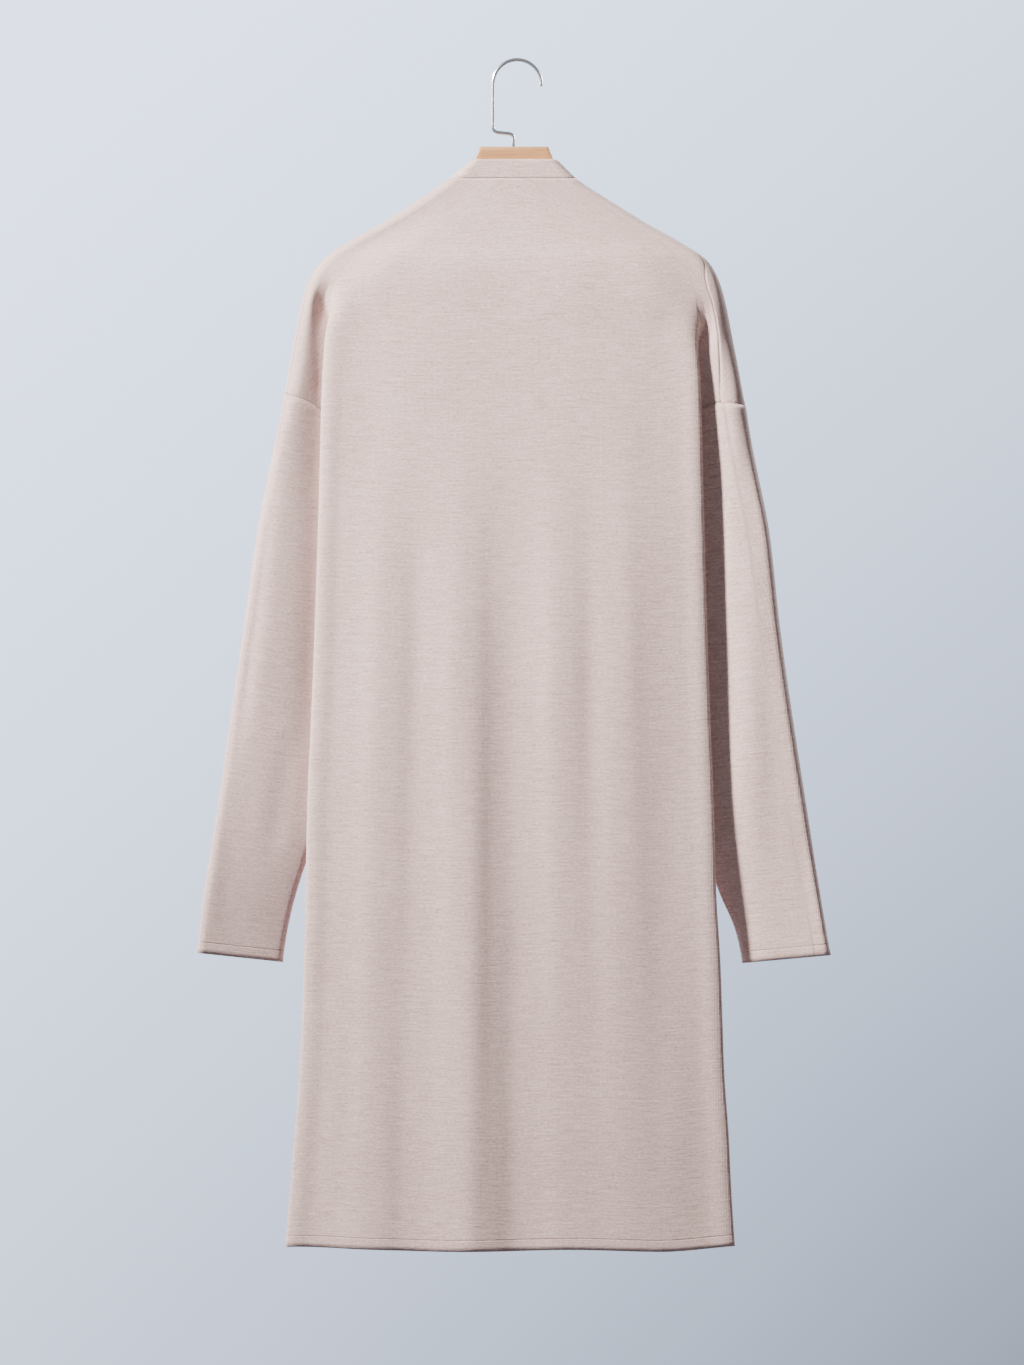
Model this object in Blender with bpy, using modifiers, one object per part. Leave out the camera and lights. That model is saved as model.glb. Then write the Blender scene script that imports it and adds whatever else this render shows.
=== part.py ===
"""Tunic cardigan on a wooden hanger, in metres: X to the wearer's right, +Y to its front, Z up.

The origin is the inside top of the hook. The cloth is worked out in millimetres as cuts across
it, one row per height, with w the distance out from the middle. It is seen from behind.
"""

import bpy
import bmesh
import numpy as np

MM = 0.001
CLOTH = 1.8  # wall of the knit
GAP = 0.6  # between pieces at a seam
MIDDLE = -2.8  # X of the hanger's middle
EYE = (-4.7, -583.7, 2600.0)  # X, Z and distance that the outline was measured from
UNDERARM = -402.8
SEAM_TOP = -111.4  # back neck seam
NECK_TOP = -93.5
FRONT_HEM = -1112.0
WIRE = 3.4
TURN = 3.0  # roundness of the cloth where the sleeve's pocket folds

SIDES = {"left": -1, "right": 1}


def table(names, *rows):
    return dict(zip(names.split(), np.array(rows, float).T))


# Outline from the neck to the end of the shoulder, for each side.
OUTER = table(
    "height left right",
    (-93.5, 40.0, 41.0),
    (-102.0, 49.0, 49.0),
    (-111.4, 62.0, 59.5),
    (-130.0, 89.0, 88.0),
    (-158.0, 134.0, 133.5),
    (-177.0, 167.0, 167.0),
    (-187.0, 180.5, 181.5),
    (-196.0, 189.5, 188.5),
    (-206.0, 194.6, 193.6),
    (-224.0, 200.0, 199.3),
    (-262.0, 208.0, 207.0),
    (-320.0, 217.5, 217.0),
    (-403.0, 234.0, 234.0),
)

# How far the cloth bulges each way at the outline, its roundness there and how far
# the shoulder seam lies behind the outline.
ROUND = table(
    "height back front turn seam_left seam_right belly",
    (-93.5, 8.4, 8.4, 6.0, 0.3, 0.3, 0.2),
    (-111.4, 8.5, 8.5, 12.0, 0.3, 0.3, 0.5),
    (-130.0, 8.6, 8.6, 15.0, 0.3, 0.3, 1.0),
    (-175.0, 9.4, 9.0, 15.0, 1.0, 0.6, 5.0),
    (-196.0, 11.0, 9.0, 12.5, 2.0, 3.0, 7.5),
    (-224.0, 12.6, 9.0, 11.0, 3.0, 7.0, 7.0),
    (-262.0, 13.0, 8.5, 11.0, 3.0, 15.0, 7.5),
    (-320.0, 13.0, 8.0, 11.0, 3.0, 21.0, 9.0),
)

# Edges of the body where it folds over the sleeve, the side seam, and how deep they lie.
BODY = table(
    "height left right front side edge under seam middle",
    (-205.0, 181.0, 174.5, 176.0, 107.0, -14.3, -7.5, 0.0, 19.0),
    (-252.0, 182.2, 173.9, 176.0, 107.0, -14.3, -7.5, 0.0, 21.0),
    (-365.0, 184.7, 174.8, 176.0, 107.0, -14.3, -7.5, 0.0, 23.5),
    (-478.0, 187.2, 176.8, 173.0, 109.0, -14.3, -7.5, 0.0, 25.0),
    (-591.0, 190.7, 180.3, 170.0, 113.0, -14.0, -7.3, 0.0, 25.5),
    (-704.0, 193.7, 184.8, 168.0, 119.0, -13.5, -7.0, 0.0, 25.0),
    (-788.0, 195.2, 187.8, 171.0, 127.0, -12.5, -6.5, 0.4, 23.5),
    (-863.0, 198.2, 194.8, 177.0, 136.0, -11.0, -5.5, 1.2, 21.5),
    (-939.0, 201.2, 197.3, 185.0, 146.0, -9.0, -4.0, 2.2, 19.5),
    (-1014.0, 206.7, 202.3, 193.0, 157.0, -7.0, -2.0, 3.0, 17.5),
    (-1070.0, 211.2, 204.8, 199.0, 165.0, -5.5, -0.5, 3.6, 16.5),
    (-1117.0, 215.2, 207.8, 204.0, 172.0, -4.5, 0.5, 4.0, 16.0),
)

# How far behind the middle the sleeve's back lies, where it meets the body's edge.
VALLEY = table(
    "height left right",
    (-240.0, 7.3, 7.3),
    (-290.0, 6.4, 3.6),
    (-330.0, 6.0, 3.0),
    (-560.0, 6.0, 3.0),
    (-640.0, 6.5, 4.4),
    (-720.0, 7.3, 7.3),
)
VALLEY_WIDE = 24.0

# The inner end of the pocket between body and sleeve, and how far it has opened.
POCKET = table(
    "height left right opened_left opened_right",
    (-205.0, 170.0, 166.0, 0.0, 0.0),
    (-224.0, 168.0, 164.0, 0.2, 0.0),
    (-252.0, 160.0, 157.0, 0.8, 0.4),
    (-264.0, 156.0, 154.0, 1.0, 0.8),
    (-282.0, 147.0, 148.0, 1.0, 1.0),
    (-318.0, 134.5, 134.0, 1.0, 1.0),
    (-365.0, 120.0, 120.0, 1.0, 1.0),
    (-403.0, 107.0, 107.0, 1.0, 1.0),
)

# Height of the armhole seam, from the outline in to the underarm, behind and in front.
ARMHOLE = table(
    "inward left right left_front right_front",
    (0.0, -311.6, -323.5, -311.6, -323.5),
    (12.0, -315.0, -321.5, -315.0, -327.0),
    (25.0, -320.5, -320.5, -320.5, -332.0),
    (38.0, -328.0, -324.0, -328.0, -338.0),
    (60.0, -344.5, -341.0, -344.5, -350.5),
    (85.0, -371.0, -368.0, -371.0, -373.0),
    (110.0, -402.8, -402.8, -402.8, -402.8),
    (114.0, -402.8, -402.8, -402.8, -402.8),
)

# Outer and inner edges of each sleeve from its seam to the cuff.
SLEEVE = table(
    "share left_out left_out_z left_in left_in_z right_out right_out_z right_in right_in_z",
    (0.00, 217.0, -311.6, 107.0, -402.8, 220.5, -323.5, 107.0, -402.8),
    (0.12, 228.0, -371.0, 122.0, -450.0, 227.5, -375.0, 121.0, -450.0),
    (0.25, 240.5, -435.0, 137.0, -506.0, 240.0, -440.0, 136.0, -506.0),
    (0.42, 253.5, -525.0, 154.0, -580.0, 250.0, -530.0, 150.0, -580.0),
    (0.58, 266.0, -610.0, 169.0, -655.0, 262.0, -615.0, 164.0, -655.0),
    (0.72, 276.0, -683.0, 185.0, -722.0, 273.0, -686.0, 176.0, -722.0),
    (0.86, 287.5, -758.0, 205.0, -785.0, 284.5, -759.0, 193.0, -785.0),
    (0.94, 294.5, -803.0, 213.0, -820.0, 292.0, -805.0, 209.0, -820.0),
    (1.00, 298.0, -838.0, 217.0, -846.4, 298.0, -840.0, 214.3, -847.4),
)

# Soft folds down the back: X at top and hem, width to each side, and depth at three heights.
FOLDS = table(
    "top hem wide_left wide_right at_550 at_850 at_hem",
    (-131.0, -140.0, 21.0, 18.0, 6.0, 4.0, 2.5),
    (-54.0, -42.0, 25.0, 19.0, 7.0, 9.5, 9.0),
    (38.0, 44.0, 17.0, 18.0, 5.5, 3.5, 2.5),
    (102.0, 92.0, 19.0, 21.0, 4.0, 3.0, 2.0),
)

# Soft folds down the fronts: distance out, width and depth.
FRONT_FOLDS = table(
    "out wide deep",
    (60.0, 18.0, 4.0),
    (115.0, 22.0, 5.0),
)

# Inner edge of the front band, and its outer edge where the fronts join it.
BAND = table(
    "height inner",
    (-93.5, 40.5),
    (-112.0, 41.0),
    (-150.0, 38.0),
    (-250.0, 28.0),
    (-350.0, 17.0),
    (-450.0, 12.0),
    (-700.0, 11.0),
    (-1117.0, 13.0),
)
BAND_SEAM = table(
    "height outer",
    (-111.4, 61.0),
    (-120.0, 59.5),
    (-135.0, 57.5),
    (-150.0, 55.5),
    (-250.0, 45.5),
    (-350.0, 34.5),
    (-450.0, 29.5),
    (-700.0, 28.5),
    (-1117.0, 30.5),
)

# Upper and lower edge of the wooden hanger, from its middle to its tip.
WOOD = table(
    "out top bottom",
    (0.0, -80.3, -146.0),
    (28.7, -80.3, -143.0),
    (35.6, -93.0, -141.0),
    (41.0, -99.5, -140.5),
    (49.0, -106.5, -141.0),
    (62.0, -116.3, -146.0),
    (89.0, -134.6, -161.0),
    (134.0, -162.4, -185.0),
    (158.0, -177.0, -198.0),
    (170.0, -185.5, -203.5),
    (176.0, -190.5, -203.5),
    (178.5, -194.5, -201.5),
)
WOOD_THICK = 12.0


def ease(t):
    t = np.clip(t, 0, 1)
    return t * t * (3 - 2 * t)


def cap(t):
    """Quarter circle from 0 at the edge to 1."""
    t = np.clip(t, 0, 1)
    return np.sqrt(1 - (1 - t) ** 2)


def read(rows, name, at):
    """A column of a table at any height, smooth between its rows and never past them."""
    key = next(iter(rows))
    x, y = rows[key], rows[name]
    if x[0] > x[-1]:
        x, at = -x, -np.asarray(at, float)
    step = np.diff(x)
    rise = np.diff(y) / step
    slope = np.concatenate([rise[:1], np.zeros(len(x) - 2), rise[-1:]])
    same = rise[:-1] * rise[1:] > 0
    both = rise[:-1] + rise[1:]
    slope[1:-1][same] = (2 * rise[:-1] * rise[1:])[same] / both[same]
    at = np.clip(at, x[0], x[-1])
    i = np.clip(np.searchsorted(x, at) - 1, 0, len(step) - 1)
    t = (at - x[i]) / step[i]
    start = y[i] * (1 + 2 * t) * (1 - t) ** 2 + slope[i] * step[i] * t * (1 - t) ** 2
    end = y[i + 1] * t * t * (3 - 2 * t) - slope[i + 1] * step[i] * t * t * (1 - t)
    return start + end


def closing(z, over):
    """1 well above the underarm, rounding off to 0 at it."""
    return cap((z - UNDERARM) / over)


def edge_of(side, face, z):
    """Outermost reach of the body's fold, its depth and its roundness."""
    if face == "back":
        return read(BODY, side, z) - CLOTH / 2, read(BODY, "edge", z), 4.0
    return read(BODY, "front", z), np.full_like(z, 11.0), 3.0


def under_of(face, z):
    """Depth of the layer turned in under the fold."""
    return read(BODY, "under", z) if face == "back" else np.full_like(z, 7.5)


def outline(side, z):
    return read(OUTER, side, z) - CLOTH / 2


def wing(side, face, w, z):
    """Depth of the cloth that runs out over the shoulder's end and into the sleeve."""
    sign, near = (-1, read(VALLEY, side, z)) if face == "back" else (1, 4.6)
    out, turn = outline(side, z), read(ROUND, "turn", z)
    edge = edge_of(side, "back", z)[0] + 2
    inner = read(POCKET, side, z) + TURN
    far = read(ROUND, face, z)
    ends = 3.5 * closing(z, 20)
    start = out - turn
    if face == "back":
        start = np.minimum(start, edge + VALLEY_WIDE)
    depth = far + (near - far) * ease((start - w) / (start - edge))
    depth += (ends - near) * ease((edge - w) / (edge - inner))
    return sign * depth * cap((out - w) / turn)


def plain(side, face, w, z):
    """Depth of the smooth upper part, from the outline in to the middle."""
    sign = -1 if face == "back" else 1
    inside = outline(side, z) - w
    turn = read(ROUND, "turn", z)
    belly = read(ROUND, "belly", z) * (1.0 if face == "back" else 0.6)
    return sign * (read(ROUND, face, z) * cap(inside / turn) + belly * ease((inside - turn) / 60))


def folds(x, z):
    """Depth that the soft folds add to the back."""
    total = np.zeros_like(x)
    share = ease((z + 330) / -787)
    for top, hem, left, right, mid, low, end in zip(*FOLDS.values()):
        off = x - (top + (hem - top) * share)
        height = np.interp(-z, (330, 550, 850, 1117), (0, mid, low, end))
        total += height * np.exp(-0.5 * (off / np.where(off < 0, left, right)) ** 2)
    return total


def front_folds(w, z):
    total = np.zeros_like(w)
    for out, wide, deep in zip(*FRONT_FOLDS.values()):
        total += deep * ease((z + 330) / -500) * np.exp(-0.5 * ((w - out) / wide) ** 2)
    return total


def face_depth(side, face, w, z):
    """Depth of the body's broad face inside its edge folds."""
    edge, at, turn = edge_of(side, face, z)
    inside = ease((edge - turn - w) / 85)
    if face == "front":
        return at + turn + 2.0 * inside + front_folds(w, z) * inside
    x = MIDDLE + SIDES[side] * w
    return at - turn - inside * (read(BODY, "middle", z) + at - turn + folds(x, z))


def pocket_line(side, face, start, z_seam, z_body, seam_behind):
    """Dense line from the seam over the wing, round the pocket's end and out to the edge."""
    sign = -1 if face == "back" else 1
    t = np.linspace(0, 1, 60)
    z = between(z_seam, z_body, 0.5 * t)
    turn = TURN * closing(z, 25) + 0.05
    w = start + (read(POCKET, side, z) + turn - start) * t
    lines = [(w, wing(side, face, w, z), z)]
    if seam_behind > 0:
        w = outline(side, z_seam) - np.linspace(seam_behind, 0, 15)
        z = np.full_like(w, z_seam)
        lines = [(w, wing(side, "back", w, z), z)] + lines
    a = np.linspace(0, np.pi / 2, 12)[1:]
    z = between(z_seam, z_body, 0.5 + 0.03 * a)
    inner, turn = read(POCKET, side, z), TURN * closing(z, 25) + 0.05
    low, tip = wing(side, face, inner + turn, z), sign * 5.5 * closing(z, 25)
    lines.append((inner + turn * (1 - np.sin(a)), tip + (low - tip) * np.cos(a), z))
    z = between(z_seam, z_body, 0.55 + 0.06 * a)
    inner, turn = read(POCKET, side, z), TURN * closing(z, 25) + 1.0
    tip, upper = sign * 5.5 * closing(z, 25), under_of(face, z)
    lines.append((inner + turn * (1 - np.cos(a)), tip + (upper - tip) * np.sin(a), z))
    lines.append(under_layer(side, face, lines[-1][0][-1], z[-1], z_body))
    return [np.concatenate(part) for part in zip(*lines)]


def between(start, end, share):
    return start + (end - start) * ease(share)


def under_layer(side, face, start, z_start, z_body):
    """The turned-in layer, from the inner fold out to the edge fold."""
    t = np.linspace(0, 1, 30)[1:]
    z = z_start + (z_body - z_start) * ease(t)
    edge, at, turn = edge_of(side, face, z)
    sign = -1 if face == "back" else 1
    upper = under_of(face, z)
    w = start + (edge - turn - start) * t
    return w, upper + (at - sign * turn - upper) * ease(t), z


def side_line(side, face, z_body):
    """Dense line from the side seam out to the edge fold, below the underarm."""
    sign = -1 if face == "back" else 1
    a = np.linspace(0, np.pi / 2, 14)
    z = np.full_like(a, z_body)
    start, tip = read(BODY, "side", z), read(BODY, "seam", z) + sign * GAP / 2
    w = start + 4.0 * (1 - np.cos(a))
    y = tip + (under_of(face, z) - tip) * np.sin(a)
    rest = under_layer(side, face, w[-1], z_body, z_body)
    return [np.concatenate(part) for part in zip((w, y, z), rest)]


def spaced(line, stops):
    """Points of a line at shares of its length."""
    line = np.array(line)
    run = np.concatenate([[0], np.cumsum(np.linalg.norm(np.diff(line), axis=0))])
    return np.array([np.interp(np.array(stops) * run[-1], run, part) for part in line])


def stops_of(line, side, face, seam_behind):
    """Shares of the pocket line's length where its folds need a point."""
    line = np.array(line)
    run = np.concatenate([[0], np.cumsum(np.linalg.norm(np.diff(line), axis=0))])
    behind = 15 if seam_behind > 0 else 0
    first, end = run[behind], run[behind + 59]
    marks = [first + (end - first) * s for s in WING_STOPS[side, face]]
    marks = [first * (1 - s) for s in WRAP_STOPS[side, face]] + marks
    tip, top = run[behind + 59 + 11], run[behind + 59 + 22]
    marks += [tip, (tip + top) / 2, top, (top + run[-1]) / 2, run[-1]]
    return np.array(marks) / run[-1]


def plain_row(side, face, z, inner, cells, behind):
    """A row where the cloth is still smooth: from the shoulder seam in to its inner edge."""
    out = outline(side, z)
    wing_end = 0.10 * (out - inner)
    stops = np.array(WING_STOPS[side, face])
    if face == "back":
        w = out - behind - (wing_end + 2 - behind) * stops
    else:
        wrap = out - behind * np.array(WRAP_STOPS[side, face])
        w = np.concatenate([wrap, out - wing_end * stops])
    more = np.arange(1, cells - len(w) + 1)
    w = np.concatenate([w, w[-1] - (w[-1] - inner) * 0.08 * more / more[-1]])
    zs = np.full_like(w, z)
    y = plain(side, face, w, zs)
    wraps = len(WRAP_STOPS[side, face])
    y[:wraps] = plain(side, "back", w[:wraps], zs[:wraps])
    return np.array([w, y, zs])


def seam_behind_at(side, z):
    return float(read(ROUND, "seam_" + side, z))


def ring_steps(side, face):
    """Distances in from the outline, along the armhole seam, for each of its points."""
    behind = seam_behind_at(side, -320.0)
    width = 109.0
    shares = np.array(RING_STOPS[side, face])
    if face == "back":
        return behind + (width - behind) * shares
    return np.concatenate([-behind * np.array(WRAP_STOPS[side, face]), width * shares])


def armhole(side, face):
    """Points of the armhole seam: w, depth, height and which way each faces."""
    steps = ring_steps(side, face)
    z = read(ARMHOLE, side, np.abs(steps))
    if face == "front":
        z = np.where(steps < 0, z, read(ARMHOLE, side + "_front", np.abs(steps)))
    z[-1] = UNDERARM
    w = outline(side, z) - np.abs(steps)
    w[-1] = 107.0
    facing = np.where((steps < 0) | (face == "back"), -1, 1)
    y = np.where(facing < 0, wing(side, "back", w, z), wing(side, "front", w, z))
    y[-1] = 0.0
    return w, y, z, facing


TOP_ROWS = np.array([-111.4, -118, -127, -139, -154, -172, -190, -207, -228, -252, -281, -316.0])
LOW_SHARES = np.linspace(0, 1, 14)
EDGE_TURN = np.linspace(0, np.pi, 5)

# Where a row has its points: behind the outline, over the wing, and along the armhole seam.
WRAP_STOPS = {
    ("left", "back"): (),
    ("right", "back"): (),
    ("left", "front"): (1, 0.3),
    ("right", "front"): (1, 0.55, 0.2),
}
WING_STOPS = {
    ("left", "back"): (0, 0.05, 0.12, 0.35, 0.67, 1),
    ("right", "back"): (0, 0.2, 0.4, 0.6, 0.8, 1),
    ("left", "front"): (0, 0.03, 0.08, 0.16, 0.4, 0.7, 1),
    ("right", "front"): (0, 0.05, 0.13, 0.4, 0.7, 1),
}
RING_STOPS = {
    ("left", "back"): (0, 0.05, 0.12, 0.28, 0.5, 0.73, 0.9, 0.955, 1),
    ("right", "back"): (0, 0.1, 0.22, 0.36, 0.52, 0.7, 0.86, 0.945, 1),
    ("left", "front"): (0, 0.02, 0.06, 0.12, 0.33, 0.6, 0.87, 0.955, 1),
    ("right", "front"): (0, 0.03, 0.1, 0.33, 0.6, 0.87, 0.955, 1),
}


def half_rows(side, face):
    """All rows of one half of the back, or of one front, as arrays of w, depth and height."""
    sign = -1 if face == "back" else 1
    inward = np.linspace(0, 1, 11 if face == "back" else 6)[1:]
    seam = armhole(side, face)
    count = len(seam[0]) - 1
    rows = []
    top = TOP_ROWS if face == "back" else np.append(-114.5, TOP_ROWS[1:])
    for k, z_body in enumerate(top[:-1]):
        rows.append((z_body, z_body, None))
    bodies = np.linspace(top[-1], UNDERARM, count + 1)
    for k in range(count):
        rows.append((seam[2][k] + GAP, bodies[k], (seam[0][k], seam[1][k], seam[3][k])))
    hem = -1118.0 if face == "back" else FRONT_HEM
    for share in LOW_SHARES:
        z_body = UNDERARM + (hem - UNDERARM) * share
        rows.append((z_body, z_body, "side"))
    made = []
    for z_seam, z_body, start in rows:
        made.append(one_row(side, face, z_seam, z_body, start, inward, sign))
    return np.array(made)


def one_row(side, face, z_seam, z_body, start, inward, sign):
    """One row: from its seam, round the folds, to the middle or the front band."""
    z_all = np.array([z_body])
    edge, at, turn = (float(np.squeeze(v)) for v in edge_of(side, face, z_all))
    outer_points = 10 if face == "back" else 13
    last = 0.0
    if face == "front":
        last = float(read(BAND_SEAM, "outer", z_body)) + GAP
    opened = float(read(POCKET, "opened_" + side, z_body)) if z_body > UNDERARM else 1.0
    if start == "side":
        line = side_line(side, face, z_body)
        outer = spaced(line, side_stops(outer_points + 1, z_body))
    else:
        behind = seam_behind_at(side, z_seam)
        if start is None:
            first = float(outline(side, z_seam)) - (behind if face == "back" else 0.0)
            wrap = behind if face == "front" else 0.0
        else:
            first = float(start[0])
            wrap = 0.0
            if face == "front" and start[2] < 0:
                wrap = float(outline(side, z_seam)) - first
                first = float(outline(side, z_seam))
        if opened > 0:
            line = pocket_line(side, face, first, z_seam, z_body, wrap)
            stops = stops_of(line, side, face, wrap)
            missing = int(np.sum(stops <= 1e-9)) - 1
            if missing > 0:
                ahead = stops[missing + 1]
                stops[: missing + 1] = ahead * np.arange(missing + 1) / (missing + 1)
            outer = spaced(line, stops)
    a = EDGE_TURN[1:]
    fold = np.array([edge - turn * (1 - np.sin(a)), at - sign * turn * np.cos(a), np.full(4, z_body)])
    w = (edge - turn) + (last - edge + turn) * inward
    z = np.full_like(w, z_body)
    face_part = np.array([w, face_depth(side, face, w, z), z])
    if opened >= 1:
        return np.hstack([outer, fold, face_part])
    smooth = plain_row(side, face, z_body, last, outer_points + 5, behind)
    w = smooth[0][-1] + (last - smooth[0][-1]) * inward
    rest = np.array([w, plain(side, face, w, z), z])
    smooth = np.hstack([smooth, rest])
    if opened <= 0:
        return smooth
    full = np.hstack([outer, fold, face_part])
    share = np.array([[ease((opened - 0.3) / 0.7)], [ease(opened / 0.3)], [1.0]])
    return smooth + (full - smooth) * share


def side_stops(count, z):
    """Shares along the side line: close together at the side seam, and most so at the underarm."""
    high = np.concatenate([np.linspace(0, 0.05, count - 5), [0.07, 0.09, 0.12, 0.55, 1]])
    low = np.concatenate([[0, 0.03, 0.07, 0.12], np.linspace(0.12, 1, count - 3)[1:]])
    return high + (low - high) * ease((UNDERARM - z) / 160)


def sighted(x, y, z):
    """Points moved along the line of sight to the depth they lie at, in metres."""
    reach = ease((-150 - z) / 110)
    scale = 1 + reach * y / EYE[2]
    return np.stack([EYE[0] + (x - EYE[0]) * scale, y, EYE[1] + (z - EYE[1]) * scale], -1) * MM


def add_sheet(name, points, around=False):
    """A cloth piece from a grid of points, rows by columns, as a closed wall of even thickness."""
    rows, columns = points.shape[:2]
    mesh = bpy.data.meshes.new(name)
    index = np.arange(rows * columns).reshape(rows, columns)
    if around:
        index = np.hstack([index, index[:, :1]])
    corners = (index[:-1, :-1], index[1:, :-1], index[1:, 1:], index[:-1, 1:])
    faces = np.stack([c.ravel() for c in corners], -1)
    mesh.from_pydata(points.reshape(-1, 3).tolist(), [], faces.tolist())
    made = bpy.data.objects.new(name, mesh)
    garment.objects.link(made)
    wall = made.modifiers.new("wall", "SOLIDIFY")
    wall.thickness = CLOTH * MM
    wall.offset = 0.0
    return made


def trimmed(rows, points=11):
    """Rows drawn back from their seam by half its gap, shared out over their first points."""
    back = GAP * 0.8
    for row in rows:
        head = row[:, :points]
        run = np.concatenate([[0], np.cumsum(np.linalg.norm(np.diff(head), axis=0))])
        moved = back + run * (run[-1] - back) / run[-1]
        row[:, :points] = [np.interp(moved, run, part) for part in head]
    return rows


def hem_wave(x, z):
    """How the hem rises towards the sides, growing only near it."""
    near = ease((-1000 - z) / 110)
    return near * (4.5 * ease((np.abs(x) - 130) / 85) + 1.0 * np.sin(x / 31.0))


def build_back():
    left = trimmed(half_rows("left", "back"))
    right = trimmed(half_rows("right", "back"))
    halves = []
    for side, rows in (("left", left), ("right", right)):
        w, y, z = rows[:, 0], rows[:, 1], rows[:, 2]
        halves.append((MIDDLE + SIDES[side] * w, y, z))
    joined = [np.hstack([a, b[:, -2::-1]]) for a, b in zip(*halves)]
    x, y, z = joined
    return add_sheet("back", sighted(x, y, z + hem_wave(x, z)))


def build_front(side):
    rows = trimmed(half_rows(side, "front"))
    x = MIDDLE + SIDES[side] * rows[:, 0]
    return add_sheet("front_" + side, sighted(x, rows[:, 1], rows[:, 2]))


def sleeve_depth(side, face, share, f, w, z):
    """Depth of a sleeve's back or front cloth, a share down it and a fraction in from its edge."""
    edge = edge_of(side, "back", z)[0]
    tilt = 17.0 * ease((share - 0.55) / 0.45)
    if face == "back":
        near = read(VALLEY, side, z)
        depth = -13 + (13 - near) * ease((edge + 2 + VALLEY_WIDE - w) / VALLEY_WIDE)
        return depth + (near - 4) * ease((edge - w) / 60) + tilt * f
    depth = 8 - 3.4 * ease((edge + 22 - w) / 20) - 0.7 * ease((edge - w) / 60)
    return depth - 10.0 * ease((share - 0.1) / 0.9) * (1 - f) + 0.35 * tilt * f


def sleeve_ring(side, share, fractions, facing):
    """One loop round a sleeve."""
    read_at = {name: float(read(SLEEVE, side + name, share)) for name in ("_out", "_out_z", "_in", "_in_z")}
    out, inner = read_at["_out"] - CLOTH / 2, read_at["_in"] + CLOTH / 2
    w = out + (inner - out) * fractions
    z = read_at["_out_z"] + (read_at["_in_z"] - read_at["_out_z"]) * fractions
    back = sleeve_depth(side, "back", share, fractions, w, z)
    front = sleeve_depth(side, "front", share, fractions, w, z)
    half, middle = (front - back) / 2, (front + back) / 2
    round_off = cap(fractions / 0.1) * cap((1 - fractions) / 0.05)
    return np.array([w, middle + facing * half * round_off, z])


def build_sleeve(side):
    back, front = armhole(side, "back"), armhole(side, "front")
    loop = [np.concatenate([b, f[-2::-1]]) for b, f in zip(back, front)]
    loop = [part[:-1] for part in loop]
    steps = np.concatenate([ring_steps(side, "back"), ring_steps(side, "front")[-2::-1]])[:-1]
    fractions = np.clip(np.abs(steps) / 109.0, 0, 1)
    facing = loop[3]
    top = np.array(loop[:3])
    model = sleeve_ring(side, 0.0, fractions, facing)
    rings = []
    for share in np.concatenate([[0], np.linspace(0.02, 1, 14)]):
        ring = sleeve_ring(side, share, fractions, facing)
        keep = (1 - ease(share / 0.25)) ** 1.5
        rings.append(ring + (top - model) * keep)
    rings = np.array(rings)
    step = rings[1] - rings[0]
    rings[0] += step / np.linalg.norm(step, axis=0) * GAP * 1.7
    x = MIDDLE + SIDES[side] * rings[:, 0]
    return add_sheet("sleeve_" + side, sighted(x, rings[:, 1], rings[:, 2]), around=True)


def band_half(side):
    """Stations of the band from the centre back over the shoulder and down one front."""
    stations = []
    for g in (0.0, 0.25, 0.45, 0.62, 0.75, 0.84, 0.91, 0.96, 0.99):
        line = []
        for z in (NECK_TOP, SEAM_TOP + GAP):
            w = float(outline(side, z)) * g
            line.append((w, float(plain(side, "back", np.array(w), np.array(z))), z))
        stations.append(line)
    drops = (0.0, 1.0, 3.0, 6.5, 12, 22, 36, 56, 86)
    for drop in drops:
        line = []
        for top, rows, name in ((NECK_TOP, BAND, "inner"), (SEAM_TOP, BAND_SEAM, "outer")):
            z = top - drop
            w = min(float(read(rows, name, z)), float(outline(side, z)))
            line.append((w, front_depth(side, w, z), z))
        stations.append(line)
    start_in, start_out = NECK_TOP - 86, SEAM_TOP - 86
    for share in np.linspace(0, 1, 17)[1:]:
        line = []
        for start, rows, name in ((start_in, BAND, "inner"), (start_out, BAND_SEAM, "outer")):
            z = start + (FRONT_HEM - start) * share
            w = float(read(rows, name, z))
            line.append((w, front_depth(side, w, z), z))
        stations.append(line)
    return np.array(stations)


def front_depth(side, w, z):
    """Depth of the front at any place, as its rows give it."""
    w, z = np.array([float(w)]), np.array([float(z)])
    opened = read(POCKET, "opened_" + side, z)
    smooth, full = plain(side, "front", w, z), face_depth(side, "front", w, z)
    return float(np.squeeze(smooth + (full - smooth) * opened))


def build_band():
    left, right = band_half("left"), band_half("right")
    halves = []
    for side, stations in (("left", left), ("right", right)):
        inner, outer = stations[:, 0], stations[:, 1]
        rows = np.stack([inner + (outer - inner) * t for t in (0.0, 0.5, 1.0)])
        halves.append((MIDDLE + SIDES[side] * rows[..., 0], rows[..., 1], rows[..., 2]))
    joined = [np.hstack([a[:, :0:-1], b]) for a, b in zip(*halves)]
    return add_sheet("neck_band", sighted(*joined))


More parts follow.
